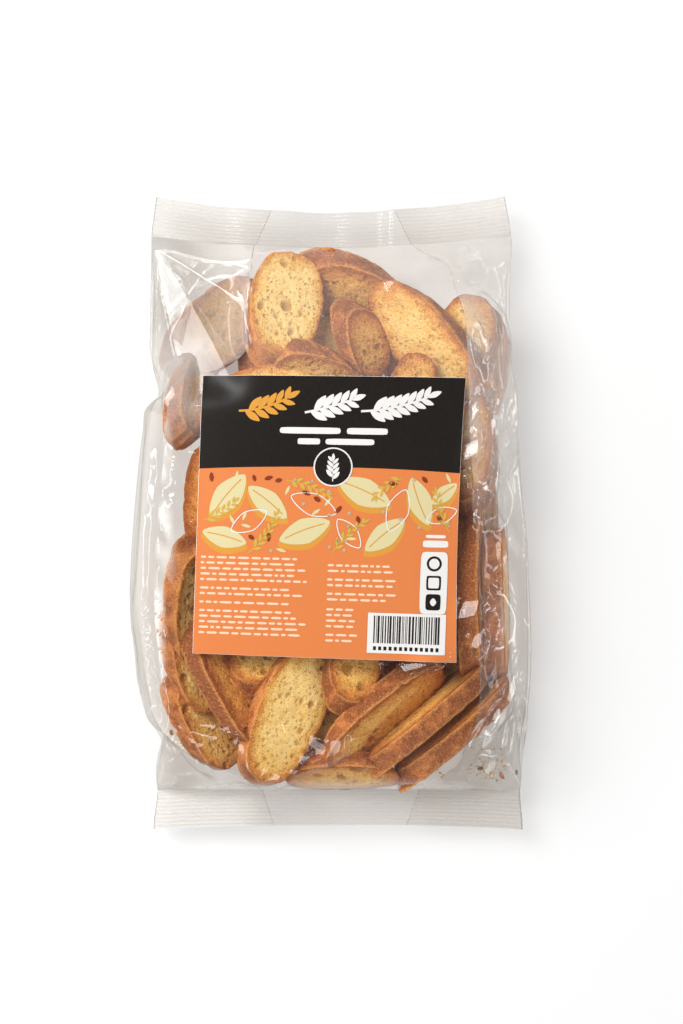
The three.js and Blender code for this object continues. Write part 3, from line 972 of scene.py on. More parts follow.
def crumpled_film(clouds):
    """The film after crumpling, worked out on three grids, each twice as fine as the last, then smoothed,
    creased, faceted and drawn flat where it is taut."""
    contents = Contents(clouds)
    form, fold_left, fold_right = film_form()
    right_share = (COLUMN - FRONT_CELLS) / SIDE_CELLS
    left_share = (len(COLUMN) - COLUMN) / SIDE_CELLS
    side_share = np.where(ON_RIGHT, right_share, np.where(ON_LEFT, left_share, 0))[None, :]
    folded = np.where(ON_RIGHT[None, :], fold_right[:, None], fold_left[:, None])
    over = ON_FRONT[None, :] | ((ON_RIGHT | ON_LEFT)[None, :] & (side_share < 0.3 + 0.4 * folded))
    beside = np.where(over, 0, ON_RIGHT[None, :].astype(int) - ON_LEFT[None, :].astype(int))
    under = np.broadcast_to(ON_BACK[None, :], over.shape)
    label = on_label(form[..., 0], form[..., 1], 3.0) & ON_FRONT[None, :]
    slack_across, slack_along = film_slack(form, label)
    # The film is held to its form firmly under the label and weakly elsewhere, and rises at most 5 mm over
    # it, or to the height of the seals.
    hold = np.where(label, 0.4, 0.012 + 0.03 * calm(form))
    ceiling = np.maximum(form[..., 2] + 5.0, SEAL_HEIGHT)

    points = None
    for step, rounds in GRIDS:
        shape = form[::step, ::step]
        regions = [r[::step, ::step] for r in (over, beside, under, hold, ceiling)]
        across_squared = slack_across[::step, ::step] ** 2
        along_squared = slack_along[::step, ::step] ** 2
        rests = {}
        for hop_row, hop_column, stiffness in LINKS + LONG_LINKS * (step < 4) + LONGEST_LINKS * (step < 2):
            rest = link_lengths(shape, hop_row, hop_column)
            slack = across_squared * abs(hop_column) + along_squared * hop_row
            slack = np.sqrt(slack / (abs(hop_column) + hop_row))[: len(rest)]
            rests[hop_row, hop_column] = (rest * slack, stiffness)
        start = shape if points is None else shape + finer(points - before)[: len(shape), : shape.shape[1]]
        points = relax_from(start, shape, rests, contents, regions, rounds, 7 + step)
        before = shape
    for _ in range(2):
        points[1:-1] = (points[:-2] + 2 * points[1:-1] + points[2:]) / 4
        points = (np.roll(points, 1, axis=1) + 2 * points + np.roll(points, -1, axis=1)) / 4
    points = points + crease_field(points)
    # Where it is now lower than the skin over the slices it comes up again, by 3 mm at most.
    lift = contents.read(contents.top, points, 0, 1) + FILM_GAP - points[..., 2]
    points[..., 2] += np.where(over & (lift > 0), np.minimum(lift, 3.0), 0)
    points[..., 2] = faceted(points)
    flat = np.where(over, drawn_flat(points, side_share), points[..., 2])
    moved = flat != points[..., 2]
    points[..., 2] = flat
    lift = contents.read(contents.touch, points, 0, 1) + FILM_GAP - points[..., 2]
    points[..., 2] += np.where(moved & (lift > 0), lift, 0)
    points[..., 2] = np.maximum(points[..., 2], LOWEST)
    return points


# Where the film is gathered and folds spread from: x, y, how far they reach, which way, in degrees from +X,
# how far to each side, the angle between folds and how steep they are. Those that go all round are the dents
# of pinched film.
FANS = [
    (-93, 141, 80, -62, 50, 9, 0.12),
    (91, -84, 70, -105, 45, 8, 0.2),
    (-88, -104, 55, -42, 45, 9, 0.12),
    (90, 80, 60, 110, 45, 9, 0.12),
    (72, 26, 20, 0, 180, 48, 0.7),
    (74, 6, 17, 0, 180, 48, 0.7),
    (84, 45, 18, 0, 180, 45, 0.4),
    (71, -55, 20, 0, 180, 45, 0.5),
    (60, 128, 18, 0, 180, 45, 0.35),
    (-84, 12, 18, 0, 180, 50, 0.35),
]


def calm(points):
    """How smoothly the film lies, from 0 to 1: it is drawn tight over the slices at the upper left."""
    return ramp(-points[..., 0], 30, 55) * ramp(points[..., 1], 30, 60)


def drawn_flat(points, depth):
    """The heights that points have once the film is drawn into flat facets, where it is stretched between a
    slice and a seal; depth is a layer's place in a gusset. At the upper left three nearly flat planes rise
    from the end of the seal, z = 13.5 + a dx + b dy, and meet in min(left, max(middle, right)), with slight
    rays over them. Below the middle the front film lies on a small plane that falls to the lower left, in a
    patch with four sides."""
    x, y, z = points[..., 0], points[..., 1], points[..., 2]
    dx, dy = x + 94, 140 - y
    turn = np.arctan2(dy, dx)
    rays = 0.0008 * np.hypot(dx, dy) * np.sin(60 * turn + 3 * np.sin(9 * turn))
    facets = np.maximum(0.35 * dx - 0.0012 * dx**2 + 0.21 * dy, 0.55 * dx + 0.064 * dy)
    facets = np.minimum(facets, 0.75 * dx + 0.115 * dy) + rays
    facets = 13.5 + np.where(ON_FRONT, facets, 0.6 * facets - 0.3 - 1.2 * depth)
    facets = facets + 30 * ramp(x, -42, -30) + 30 * ramp(-y, -60, -40)
    z = np.where((x < -30) & (y > 40), np.minimum(z, facets), z)
    patch = 46.0 + 0.25 * x + 0.433 * (y + 116)
    left = -0.894 * (x + 12) + 0.447 * (y + 114)
    below = 0.904 * (-121.7 + 0.474 * (x - 4.3) - y)
    inside = (1 - ramp(left, -0.5, 3)) * (1 - ramp(below, -0.5, 3))
    inside = inside * (1 - ramp(x, 5, 9)) * (1 - ramp(y, -113, -109))
    return z + inside * ON_FRONT * (patch - z)


# Small flat facets between dents: x, y, length, width and the angle of the length from +X.
FACETS = [
    (71, 52, 14, 8, 75),
    (69.5, 32, 16, 10, 60),
    (67, 20, 12, 8, -20),
    (76, 13, 18, 7, -42),
    (80, 44, 26, 6, 84),
    (68, -48, 18, 12, 40),
    (72, -64, 14, 8, 70),
    (39, -76, 26, 8, 2),
    (62.5, 119, 12, 7, 60),
    (77.5, -110, 16, 9, 35),
    (82, -102, 14, 7, 80),
    (90, -88, 26, 7, 82),
]


def faceted(points):
    """Presses small facets into the front. Where |along| / (length / 2) + |across| / (width / 2) is under
    0.9, and less and less out to 1.5, the film lies on the plane z = middle + 0.45 dx - 0.36 dy, which faces
    up and to the left."""
    x, y, z = points[..., 0], points[..., 1], points[..., 2].copy()
    for middle_x, middle_y, length, width, turn in FACETS:
        dx, dy = x - middle_x, y - middle_y
        c, s = math.cos(math.radians(turn)), math.sin(math.radians(turn))
        spread = np.abs(dx * c + dy * s) / (length / 2) + np.abs(dy * c - dx * s) / (width / 2)
        inside = (1 - ramp(spread, 0.9, 1.5)) * ON_FRONT
        middle = (z * inside).sum() / inside.sum() + 0.4
        z = z + inside * (middle + 0.45 * dx - 0.36 * dy - z)
    return z


def ridged(*along):
    """A noise with sharp creases: 1 - 2 |n|, which has a crest wherever n crosses zero."""
    return 1 - 2 * np.abs(lattice_noise(np.stack(np.broadcast_arrays(*along), -1), 1.0, 41))


def chevron_chain(x, y):
    """The chain of chevrons pressed into the lower left: a triangle wave of y + 0.9 |x - middle|, and how far
    inside the chain a point is."""
    middle = np.abs(x + 92)
    chevron = (y + 0.9 * middle) / 8.0
    chevron = 4 * np.abs(chevron - np.floor(chevron + 0.5)) - 1
    return chevron, (1 - ramp(middle, 3, 9)) * ramp(y, -112, -100) * (1 - ramp(y, -44, -34))


def painted_highlight_streaks(x, y):
    """How milky the sides are made where they should show white reflections: painted highlights, as
    streaks along the folds, broken up lengthwise, and at the left the blocks between the chevrons, with a
    thin clear line around each."""
    chevron, in_chain = chevron_chain(x, y)
    blocks = 1.6 * in_chain * ramp(chevron, -0.9, -0.4)
    broken = lattice_noise(np.stack([x / 5 + 0.1 * y, y / 16, 0 * x], -1), 1.0, 57)
    streak = (1 - ramp(np.abs(x + 87 + 0.03 * y), 2, 9)) * ramp(y, -40, -20) * (1 - ramp(y, 40, 56))
    right = (1 - ramp(np.abs(x - 90 - 0.04 * y), 1.5, 7)) * ramp(y, -80, -60) * (1 - ramp(y, 30, 50))
    return blocks + (1.3 * streak + 0.5 * right) * ramp(broken, -0.35, 0.5)


def crease_field(points):
    """How creases shift each point of the film. Along the sides they run lengthwise, and go a little in and
    out, in z = a ridged(x / 10, y / 70, z / 25). From each gathered place they spread as cones do, in
    z = slope min(far, 9) ridged(angle / apart). At the lower left they make a chain of chevrons, a triangle
    wave of y + 0.9 |x - middle|. Layers that lie close to each other shift nearly alike."""
    x, y, z = points[..., 0], points[..., 1], points[..., 2]
    u, v = label_place(x, y)
    clear_of_label = ramp(np.maximum(np.abs(u) - LABEL_WIDTH / 2, np.abs(v) - LABEL_HEIGHT / 2), -1, 8)
    clear_of_seal = ramp(SEAL_START - np.abs(y), 0, 14)
    lengthwise = ramp(np.abs(x), 56, 74) * (1 - 0.8 * ramp(np.abs(y), 95, 135)) * (1 - 0.9 * calm(points))
    lift = (0.9 + 0.3 * np.sign(x)) * lengthwise * ridged(x / 10, y / 70, z / 25)
    for number, (fan_x, fan_y, reach, towards, width, apart, slope) in enumerate(FANS):
        dx, dy = x - fan_x, y - fan_y
        far = np.hypot(dx, dy)
        turn = (np.degrees(np.arctan2(dy, dx)) - towards + 180) % 360 - 180
        within = 1 - ramp(far, 0.5 * reach, reach)
        if width < 180:
            within = within * (1 - ramp(np.abs(turn), 0.6 * width, width))
        round_trip = np.stack([np.cos(np.radians(turn)), np.sin(np.radians(turn))]) * 57.3 / apart
        folds = ridged(round_trip[0] + 13 * number, round_trip[1], 0 * z)
        lift = lift + slope * np.minimum(far, 9) * within * folds
    chevron, in_chain = chevron_chain(x, y)
    lift = lift + chevron * in_chain
    shift = np.zeros_like(points)
    shift[..., 2] = lift * clear_of_label * clear_of_seal
    in_and_out = ridged(x / 30, y / 50, z / 7)
    shift[..., 0] = np.sign(x) * 0.9 * lengthwise * clear_of_label * clear_of_seal * in_and_out
    return shift


def on_label(x, y, margin):
    """Whether x, y lies under the label, or within a margin of it."""
    u, v = label_place(x, y)
    return (np.abs(u) < LABEL_WIDTH / 2 + margin) & (np.abs(v) < LABEL_HEIGHT / 2 + margin)


RIB_PITCH, RIB_HEIGHT = 2.0, 0.14  # the jaws press ribs this far apart and this deep into a seal
SEAL_ROWS = 60


def seal_rows(film, end):
    """A seal, as further rows of the film past one end: every layer goes on, pressed nearly flat onto the
    others, in z = wave(x, y) + the layer's own offset + ribs, ribs = h cos(2 pi d / pitch) at a distance d
    from the start. The inner folds of the gussets run on slanting inwards. Returns the points and where the
    ribs are."""
    start = film[-1] if end > 0 else film[0]
    reach = np.linspace(0, 1, SEAL_ROWS + 1)[:, None]
    y_start, y = end * SEAL_START, end * (SEAL_START + SEAL_DEPTH * reach)
    left, right, _ = edge_and_crown(y)
    left_0, right_0, _ = edge_and_crown(y_start)
    share = (start[:, 0] - left_0) / (right_0 - left_0)
    x = left + (right - left) * share
    middle = (left + right) / 2
    across = (x - middle) / ((right - left) / 2)
    tucked = np.clip((1 - np.abs(across)) * (right - left) / 2 / TUCK_DEPTH, 0, 1) * (ON_RIGHT | ON_LEFT)
    x = x - 8.0 * np.sign(across) * tucked * reach
    y_now = y + end_sag(y, (x - middle) / ((right - left) / 2))
    offset = start[:, 2] - seal_wave(start[:, 0], np.full(len(start), y_start))
    corners = [0, FRONT_CELLS, BACK_FIRST, BACK_LAST, len(COLUMN)]
    layer = np.interp(COLUMN, corners, [0.5, 0.5, -0.5, -0.5, 0.5])
    pressed = ramp(reach, 0, 0.06)
    ribs = np.cos(2 * np.pi * SEAL_DEPTH * reach / RIB_PITCH) * ramp(reach, 0.04, 0.09)
    z = seal_wave(x, y) + offset * (1 - pressed) + layer * pressed + RIB_HEIGHT * ribs
    return np.stack([x, y_now, z], -1), np.broadcast_to(ribs, x.shape)


FIN_LEFT, FIN_WIDTH = -10.0, 12.0  # the seal along the back, folded over to lie flat
FIN_GAP, FIN_LOWEST, FIN_THICKNESS = 0.2, 0.08, 0.06  # under the back, over the floor, and between its layers
FIN_RIB_PITCH, FIN_RIB_HEIGHT = 1.5, 0.04
FIN_ROWS, FIN_COLUMNS = 440, 9


def fin_seal(film):
    """The bag's lengthwise seal: a strip of two pressed layers lying flat under the back, its ribs running
    across, in z = back(x, y) - gap + h cos(2 pi y / pitch). Returns the points and where the ribs are."""
    back = film[:, BACK_FIRST : BACK_LAST + 1][:, ::-1]
    share = np.linspace(0, 1, FIN_COLUMNS)
    across = FIN_LEFT + FIN_WIDTH * share
    finer_rows = np.linspace(0.5, len(back) - 1.5, FIN_ROWS)
    tables = [
        np.stack([[np.interp(x, row[:, 0], row[:, k]) for x in across] for row in back], 1) for k in (1, 2)
    ]
    y, z = (
        np.stack([np.interp(finer_rows, np.arange(len(back)), one) for one in table], 1) for table in tables
    )
    x = across + 0.8 * np.sin(y / 31)
    for _ in range(12):
        z[1:-1] = (z[:-2] + 2 * z[1:-1] + z[2:]) / 4
    z = np.maximum(z - FIN_GAP, FIN_LOWEST)
    ribs = np.cos(2 * np.pi * y / FIN_RIB_PITCH) + 0 * x
    inner = np.sin(np.pi * share)[None, :] > 0.1
    upper = np.stack([x, y + 0 * x, z + FIN_RIB_HEIGHT * ribs * inner], -1)
    under = upper - [0, 0, FIN_THICKNESS]
    both = np.concatenate([upper, under[:, ::-1]], axis=1)
    return both, np.concatenate([ribs, ribs], axis=1)


def scuffing_and_painted_highlights(film):
    """How milky the film is, 0 where it is clear: both gussets where they are folded in, which folding and
    rubbing cloud, and on the front a patch at the upper left, one at the upper right and a faint one beside
    it, the streaks of the sides, and a line where the bottom seal begins. The patches at the upper left and
    right and the streaks are whiter haze where the film should show white reflections: painted highlights."""
    x, y = film[..., 0], film[..., 1]
    _, fold_left, fold_right = film_form()
    high = ramp(y, -20, 60)
    milky = fold_right[:, None] * ON_RIGHT * (0.1 + 1.5 * high) + fold_left[:, None] * ON_LEFT
    # Painted highlights: whiter haze at the upper left, at the upper right and in the side streaks.
    milky += 1.8 * ON_FRONT * ramp(-x, 56, 70) * ramp(y, 30, 58) * (1 - ramp(y, 80, 100))
    milky += 0.5 * ON_FRONT * ramp(x, 62, 72) * high
    milky += ON_FRONT * 0.6 * ramp(y, 0, 40) * ramp(x, -50, -35)
    milky += ON_FRONT * 3.4 * painted_highlight_streaks(x, y)
    milky += ON_FRONT * 2.6 * ramp(-y, 134, 140) * (1 - ramp(np.abs(x), 62, 75))
    return milky


def build_film(film):
    """The bag's film as pieces: its body, its two end seals and the seal along its back. `slack` is where
    thin creases run over it, `cloudy` how milky it is, with patches that are painted highlights, and `grey`
    how much painted shade darkens what is behind it."""
    x, y = film[..., 0], film[..., 1]
    near_edge, near_end = ramp(np.abs(x), 55, 80), ramp(np.abs(y), 85, 120)
    body = make_piece(
        "film_body",
        film,
        grid_quads(*film.shape[:2], wrap=True),
        [clear_film("clear_film", 0.0002, 0.042, "#A09A90")],
        "film",
        slack=np.maximum(near_edge, near_end) * (1 - 0.8 * calm(film)),
        # Painted shade: the film is darkened along its left side and at its lower right.
        grey=0.13 * ramp(-x, 55, 80) + 0.1 * ramp(x, 40, 65) * ramp(-y, 75, 110),
        # Milky where the gussets were folded, plus whiter patches and streaks that are painted highlights.
        cloudy=0.006 + 0.014 * ~ON_FRONT + 0.13 * scuffing_and_painted_highlights(film),
    )
    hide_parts("bag")
    pressed_film = clear_film("pressed_film", 0.0002, 0.022, "#DAD7D3")
    for name, end in (("top_seal", 1), ("bottom_seal", -1)):
        rows, ribs = seal_rows(film, end)
        outer = ramp(np.abs(rows[..., 0]), 30, 55)
        corner = 0.1 if end > 0 else 0.35 * (rows[..., 0] > 0)
        quads = grid_quads(*rows.shape[:2], wrap=True)
        make_piece(
            name,
            rows,
            quads if end > 0 else quads[:, ::-1],
            [pressed_film],
            "film",
            slack=np.zeros(rows.shape[:2]),
            # Haze that follows the ribs and is stronger at the bottom left: partly the pressed film's own
            # milkiness, partly painted highlights where the ribs and the left of the seal catch light.
            cloudy=0.07 + 0.03 * ribs + 0.13 * (end < 0) * ramp(-rows[..., 0], 25, 60),
            # Painted shade: the middle of each seal and the right of the bottom seal are darkened.
            grey=np.where(ON_LEFT | ON_RIGHT, 0.0, 0.3 * (1 - outer) + corner * outer),
        )
    fin, ribs = fin_seal(film)
    make_piece(
        "fin_seal",
        fin,
        grid_quads(*fin.shape[:2], wrap=True),
        [pressed_film],
        "film",
        slack=0 * ribs,
        # Haze that follows the ribs: partly the pressed film's milkiness, partly painted highlights.
        cloudy=0.04 + 0.02 * ribs,
        grey=0 * ribs,
    )


# --------------------------------------------------------------------------------------------------
# Label
# --------------------------------------------------------------------------------------------------

LABEL_WIDTH, LABEL_HEIGHT = 132.0, 141.0
LABEL_CENTRE = (-2.0, -2.0)
LABEL_TURN = math.radians(-2)
LABEL_SKEW = 0.8  # mm that the crumpling of the film under it draws its upper corners up and down
LABEL_GAP, PAPER = 0.25, 0.2  # from the film to the paper, and the paper's thickness
BARE_EDGE = 0.12  # of paper round the print
INK_STEP = 0.04  # each layer of ink is drawn this far above the last, far thicker than real ink


def level(number):
    """Height above the film of a layer of ink, 0 being the paper's face."""
    return LABEL_GAP + PAPER + INK_STEP * number


def label_place(x, y):
    """A place on the bag in the label's own axes, in mm from its middle."""
    dx, dy = x - LABEL_CENTRE[0], y - LABEL_CENTRE[1]
    c, s = math.cos(LABEL_TURN), math.sin(LABEL_TURN)
    return dx * c + dy * s, dy * c - dx * s


class LabelSurface:
    """The gentle surface that the label takes up on the film: the film's highest points in 2 mm cells,
    blurred."""

    CELL, CELLS = 2.0, (80, 84)  # mm, and how many there are
    LOW = np.array([-80.0, -84.0])  # x, y of their corner

    def __init__(self, film):
        front = film[:, : FRONT_CELLS + 1].reshape(-1, 3)
        i, j = ((front[:, :2] - self.LOW) / self.CELL).astype(int).T
        near = (i >= 0) & (j >= 0) & (i < self.CELLS[0]) & (j < self.CELLS[1])
        height = np.full(self.CELLS, -1.0)
        np.maximum.at(height, (i[near], j[near]), front[near, 2])
        self.height = spread_and_blurred(height, 1, 6)

    def at(self, u, v, lift):
        """Points `lift` above that surface, for places in the label's axes."""
        c, s = math.cos(LABEL_TURN), math.sin(LABEL_TURN)
        v = v + LABEL_SKEW * (u / 66) * (1 + v / 70)
        x, y = LABEL_CENTRE[0] + u * c - v * s, LABEL_CENTRE[1] + u * s + v * c
        i, j = (x - self.LOW[0]) / self.CELL - 0.5, (y - self.LOW[1]) / self.CELL - 0.5
        i0, j0 = np.floor(i).astype(int), np.floor(j).astype(int)
        p, q = i - i0, j - j0
        z = (self.height[i0, j0] * (1 - p) + self.height[i0 + 1, j0] * p) * (1 - q)
        z = z + (self.height[i0, j0 + 1] * (1 - p) + self.height[i0 + 1, j0 + 1] * p) * q
        place = np.stack([x, y, np.zeros_like(x)], -1)
        return np.stack([x, y, z + lift + 0.35 * lattice_noise(place, 34.0, 5)], -1)


def edge_bow(u, v):
    """How far a place near the label's right side is drawn in: up to 1.6 (1 - (v / half height)^2) at u = 66,
    easing off to nothing at u = 30."""
    return -1.6 * ramp(u, 30, 66) * (1 - (v / (LABEL_HEIGHT / 2)) ** 2)


def field_edge(u):
    """Place v of the line between the label's dark and orange fields: a low arch."""
    return 24.9 - 1.9 * (u / 66) ** 2


POINTED, ROUND, SQUARE = 1.45, 2, 20  # exponents of a printed shape's outline


def inked(surface, shapes, lift, cells=(12, 4)):
    """Points and quads of flat printed shapes. Each is a row u, v, half length, half width, turn in degrees
    and exponent n: the part of the label where |a|^n + |b|^n < 1, a and b being shares of its half sizes."""
    shapes = np.array(shapes, float)
    u0, v0, half_length, half_width, turn, roundness = (shapes[:, k, None, None] for k in range(6))
    a = np.sin(np.linspace(-1, 1, cells[0] + 1) * 0.499 * np.pi)[None, :, None]
    b = np.linspace(-1, 1, cells[1] + 1)[None, None, :]
    across = np.where(roundness >= SQUARE, b, b * (1 - np.abs(a) ** roundness) ** (1 / roundness))
    c, s = np.cos(np.radians(turn)), np.sin(np.radians(turn))
    du, dv = a * half_length * np.ones_like(b), across * half_width
    points = surface.at(u0 + du * c - dv * s, v0 + du * s + dv * c, lift)
    count = points.shape[1] * points.shape[2]
    one = grid_quads(points.shape[1], points.shape[2])
    quads = (one[None] + count * np.arange(len(shapes))[:, None, None]).reshape(-1, 4)
    return points.reshape(-1, 3), quads


def inked_line(surface, u, v, width, lift):
    """A printed line of that width along the places u, v."""
    path = np.stack([u, v], -1)
    ahead = np.gradient(path, axis=0)
    ahead /= np.linalg.norm(ahead, axis=1, keepdims=True)
    side = np.stack([-ahead[:, 1], ahead[:, 0]], -1) * width / 2
    both = np.stack([path + side, path - side], axis=1)
    return surface.at(both[..., 0], both[..., 1], lift).reshape(-1, 3), grid_quads(len(path), 2)


def joined(parts):
    """Several lots of points and quads as one."""
    starts = np.cumsum([0] + [len(points) for points, _ in parts[:-1]])
    return np.concatenate([p for p, _ in parts]), np.concatenate([q + s for (_, q), s in zip(parts, starts)])


def outlined(surface, shape, width, lift):
    """A printed line round the outline of a shape of the kind that inked fills."""
    u0, v0, half_length, half_width, turn, roundness = shape
    along = np.linspace(0, 2 * np.pi, 73)
    a = np.cos(along)
    b = np.sign(np.sin(along)) * (1 - np.abs(a) ** roundness) ** (1 / roundness)
    c, s = math.cos(math.radians(turn)), math.sin(math.radians(turn))
    du, dv = half_length * a, half_width * b
    return inked_line(surface, u0 + du * c - dv * s, v0 + du * s + dv * c, width, lift)


def sprig(u, v, turn, length, bend, pairs, size, spread=36.0):
    """A sprig: the places of its bent stem, and its leaves as shapes for inked, in pairs that get smaller
    towards the tip, each leaf turned out from the stem by `spread` degrees, and one more at the tip."""
    share = np.linspace(0, 1, 24)
    heading = np.radians(turn + bend * share)
    step = length / (len(share) - 1)
    stem_u = u + np.concatenate([[0], np.cumsum(step * np.cos(heading[:-1]))])
    stem_v = v + np.concatenate([[0], np.cumsum(step * np.sin(heading[:-1]))])
    leaves = []
    for number in range(pairs):
        half = size * (1 - 0.3 * number / pairs)
        for side in (1, -1):
            at = 0.16 + 0.76 * (number + 0.2 * side) / max(pairs - 1, 1)
            here = np.interp(at, share, heading)
            out = here + side * math.radians(spread)
            leaf_u = np.interp(at, share, stem_u) + half * math.cos(out)
            leaf_v = np.interp(at, share, stem_v) + half * math.sin(out)
            leaves.append((leaf_u, leaf_v, half, 0.4 * half, math.degrees(out), POINTED))
    tip = heading[-1]
    half = 0.8 * size
    tip_u, tip_v = stem_u[-1] + half * math.cos(tip), stem_v[-1] + half * math.sin(tip)
    leaves.append((tip_u, tip_v, half, 0.4 * half, turn + bend, POINTED))
    return stem_u, stem_v, leaves


# Large kernels on the label: u, v, half length, half width, turn.
KERNELS = [
    (-51, 9, 14, 7.5, 52),
    (-31, 6, 13, 6.5, -38),
    (-12, -8, 14, 7, 22),
    (-52, -12, 12, 6, -14),
    (17, 12, 15, 7.5, -24),
    (28, -9, 13, 6.5, 40),
    (45, 8, 13, 6.5, 112),
    (57, 12, 8.5, 4.5, 40),
]
# Sprigs on the label: u, v, turn, length, bend, pairs of leaves.
SPRIGS = [
    (-63, -3, 20, 18, 24, 5),
    (-40, -19, 40, 24, 30, 6),
    (-22, 18, -8, 22, -24, 5),
    (2, -18, 60, 22, -30, 5),
    (36, 20, 200, 16, 30, 4),
    (60, -6, 120, 20, -20, 5),
]
# Outlined leaves, their numbers as the kernels'.
OUTLINES = [
    (-40, -3, 10, 5, 30),
    (-8, 6, 12, 5.5, -20),
    (34, 4, 11, 5.5, 70),
    (10, -8, 9, 4.5, -50),
    (56, 2, 8, 4, 20),
]
# The sprigs in place of the title: as the others, and the size of their leaves.
TITLE = [(-47, 52.5, 2, 25, 28, 5, 4.6), (-14, 52, 12, 24, 8, 5, 4.7), (14, 53, 3, 34, 20, 7, 4.7)]
# Blocks of small text: u, v of the first line, lines, lines that a wider gap follows, width.
TEXT_BLOCKS = [
    (-63.5, -21.5, 13, (4, 6, 7), 55.0),
    (0.0, -24.0, 6, (1, 3), 38.0),
    (0.0, -46.0, 6, (3,), 17.0),
]


def words(u, v, lines, gaps, width, rng):
    """Rows of short bars in place of small text: a bar is a word, and each line ends at its own length."""
    bars = []
    for line in range(lines):
        end = u + width * rng.uniform(0.8, 1.0)
        at = u
        while at < end - 2:
            length = min(rng.uniform(1.8, 6.5), end - at)
            bars.append((at + length / 2, v, length / 2, 0.55, 0, 6))
            at += length + 0.9
        v -= 2.8 + 1.5 * (line in gaps)
    return bars


def scattered(rng, count, clear):
    """Random places in the printed band that keep `clear` mm from the kernels and off what is printed
    below."""
    taken = np.array(KERNELS, float)
    found = []
    while len(found) < count:
        u, v = rng.uniform(-62, 62), rng.uniform(-18, 21)
        off = np.hypot(
            (u - taken[:, 0]) / (taken[:, 2] + clear), (v - taken[:, 1]) / (taken[:, 3] + 2 + clear)
        )
        if off.min() > 1 and not (u > 42 and v < -5) and all(math.hypot(u - a, v - b) > 5 for a, b in found):
            found.append((u, v))
    return found


def paper_sheet(surface):
    """Points and quads of the label's paper, 67 x 72 points on each face, closed by a wall round its rim."""
    u = np.linspace(-LABEL_WIDTH / 2, LABEL_WIDTH / 2, 67)[:, None]
    v = np.linspace(-LABEL_HEIGHT / 2, LABEL_HEIGHT / 2, 72)[None, :]
    top = surface.at(u + edge_bow(u, v) + 0 * v, v + 0 * u, level(0))
    bottom = top - [0, 0, PAPER]
    rows, columns = top.shape[:2]
    count = rows * columns
    rim = rim_of(rows, columns)
    wall = np.stack([rim, rim + count, np.roll(rim, -1) + count, np.roll(rim, -1)], -1)
    quads = [grid_quads(rows, columns), grid_quads(rows, columns, count)[:, ::-1], wall[:, ::-1]]
    return np.concatenate([top.reshape(-1, 3), bottom.reshape(-1, 3)]), np.concatenate(quads)


def colour_field(surface, low, high):
    """A field of ink across the label from one line to another, both v as a function of u."""
    u = np.linspace(-LABEL_WIDTH / 2 + BARE_EDGE, LABEL_WIDTH / 2 - BARE_EDGE, 89)[:, None]
    v = low(u) + (high(u) - low(u)) * np.linspace(0, 1, 49)[None, :]
    return surface.at(u + edge_bow(u, v), v, level(1)).reshape(-1, 3), grid_quads(89, 49)


def kernel_ribs(surface):
    """The line drawn along each large kernel, bowed by 0.1 of its width."""
    ribs = []
    for u, v, length, width, turn in KERNELS:
        along = np.linspace(-0.75, 0.75, 13) * length
        c, s = math.cos(math.radians(turn)), math.sin(math.radians(turn))
        bow = 0.1 * width * np.cos(along / length * 2)
        line_u, line_v = u + along * c - bow * s, v + 0.7 + along * s + bow * c
        ribs.append(inked_line(surface, line_u, line_v, 0.55, level(5)))
    return ribs


def code_bars(rng):
    """Bars of random widths side by side, and a row of 13 small blocks under them. They encode nothing."""
    bars, at = [], 24.0
    while at < 56.5:
        width = rng.choice([0.33, 0.66, 0.99])
        bars.append((at + width / 2, -55.2, width / 2, 6.8, 0, SQUARE))
        at += width + rng.choice([0.33, 0.66])
    return bars + [(24.8 + 2.6 * number, -64.6, 0.75, 0.95, 0, SQUARE) for number in range(13)]


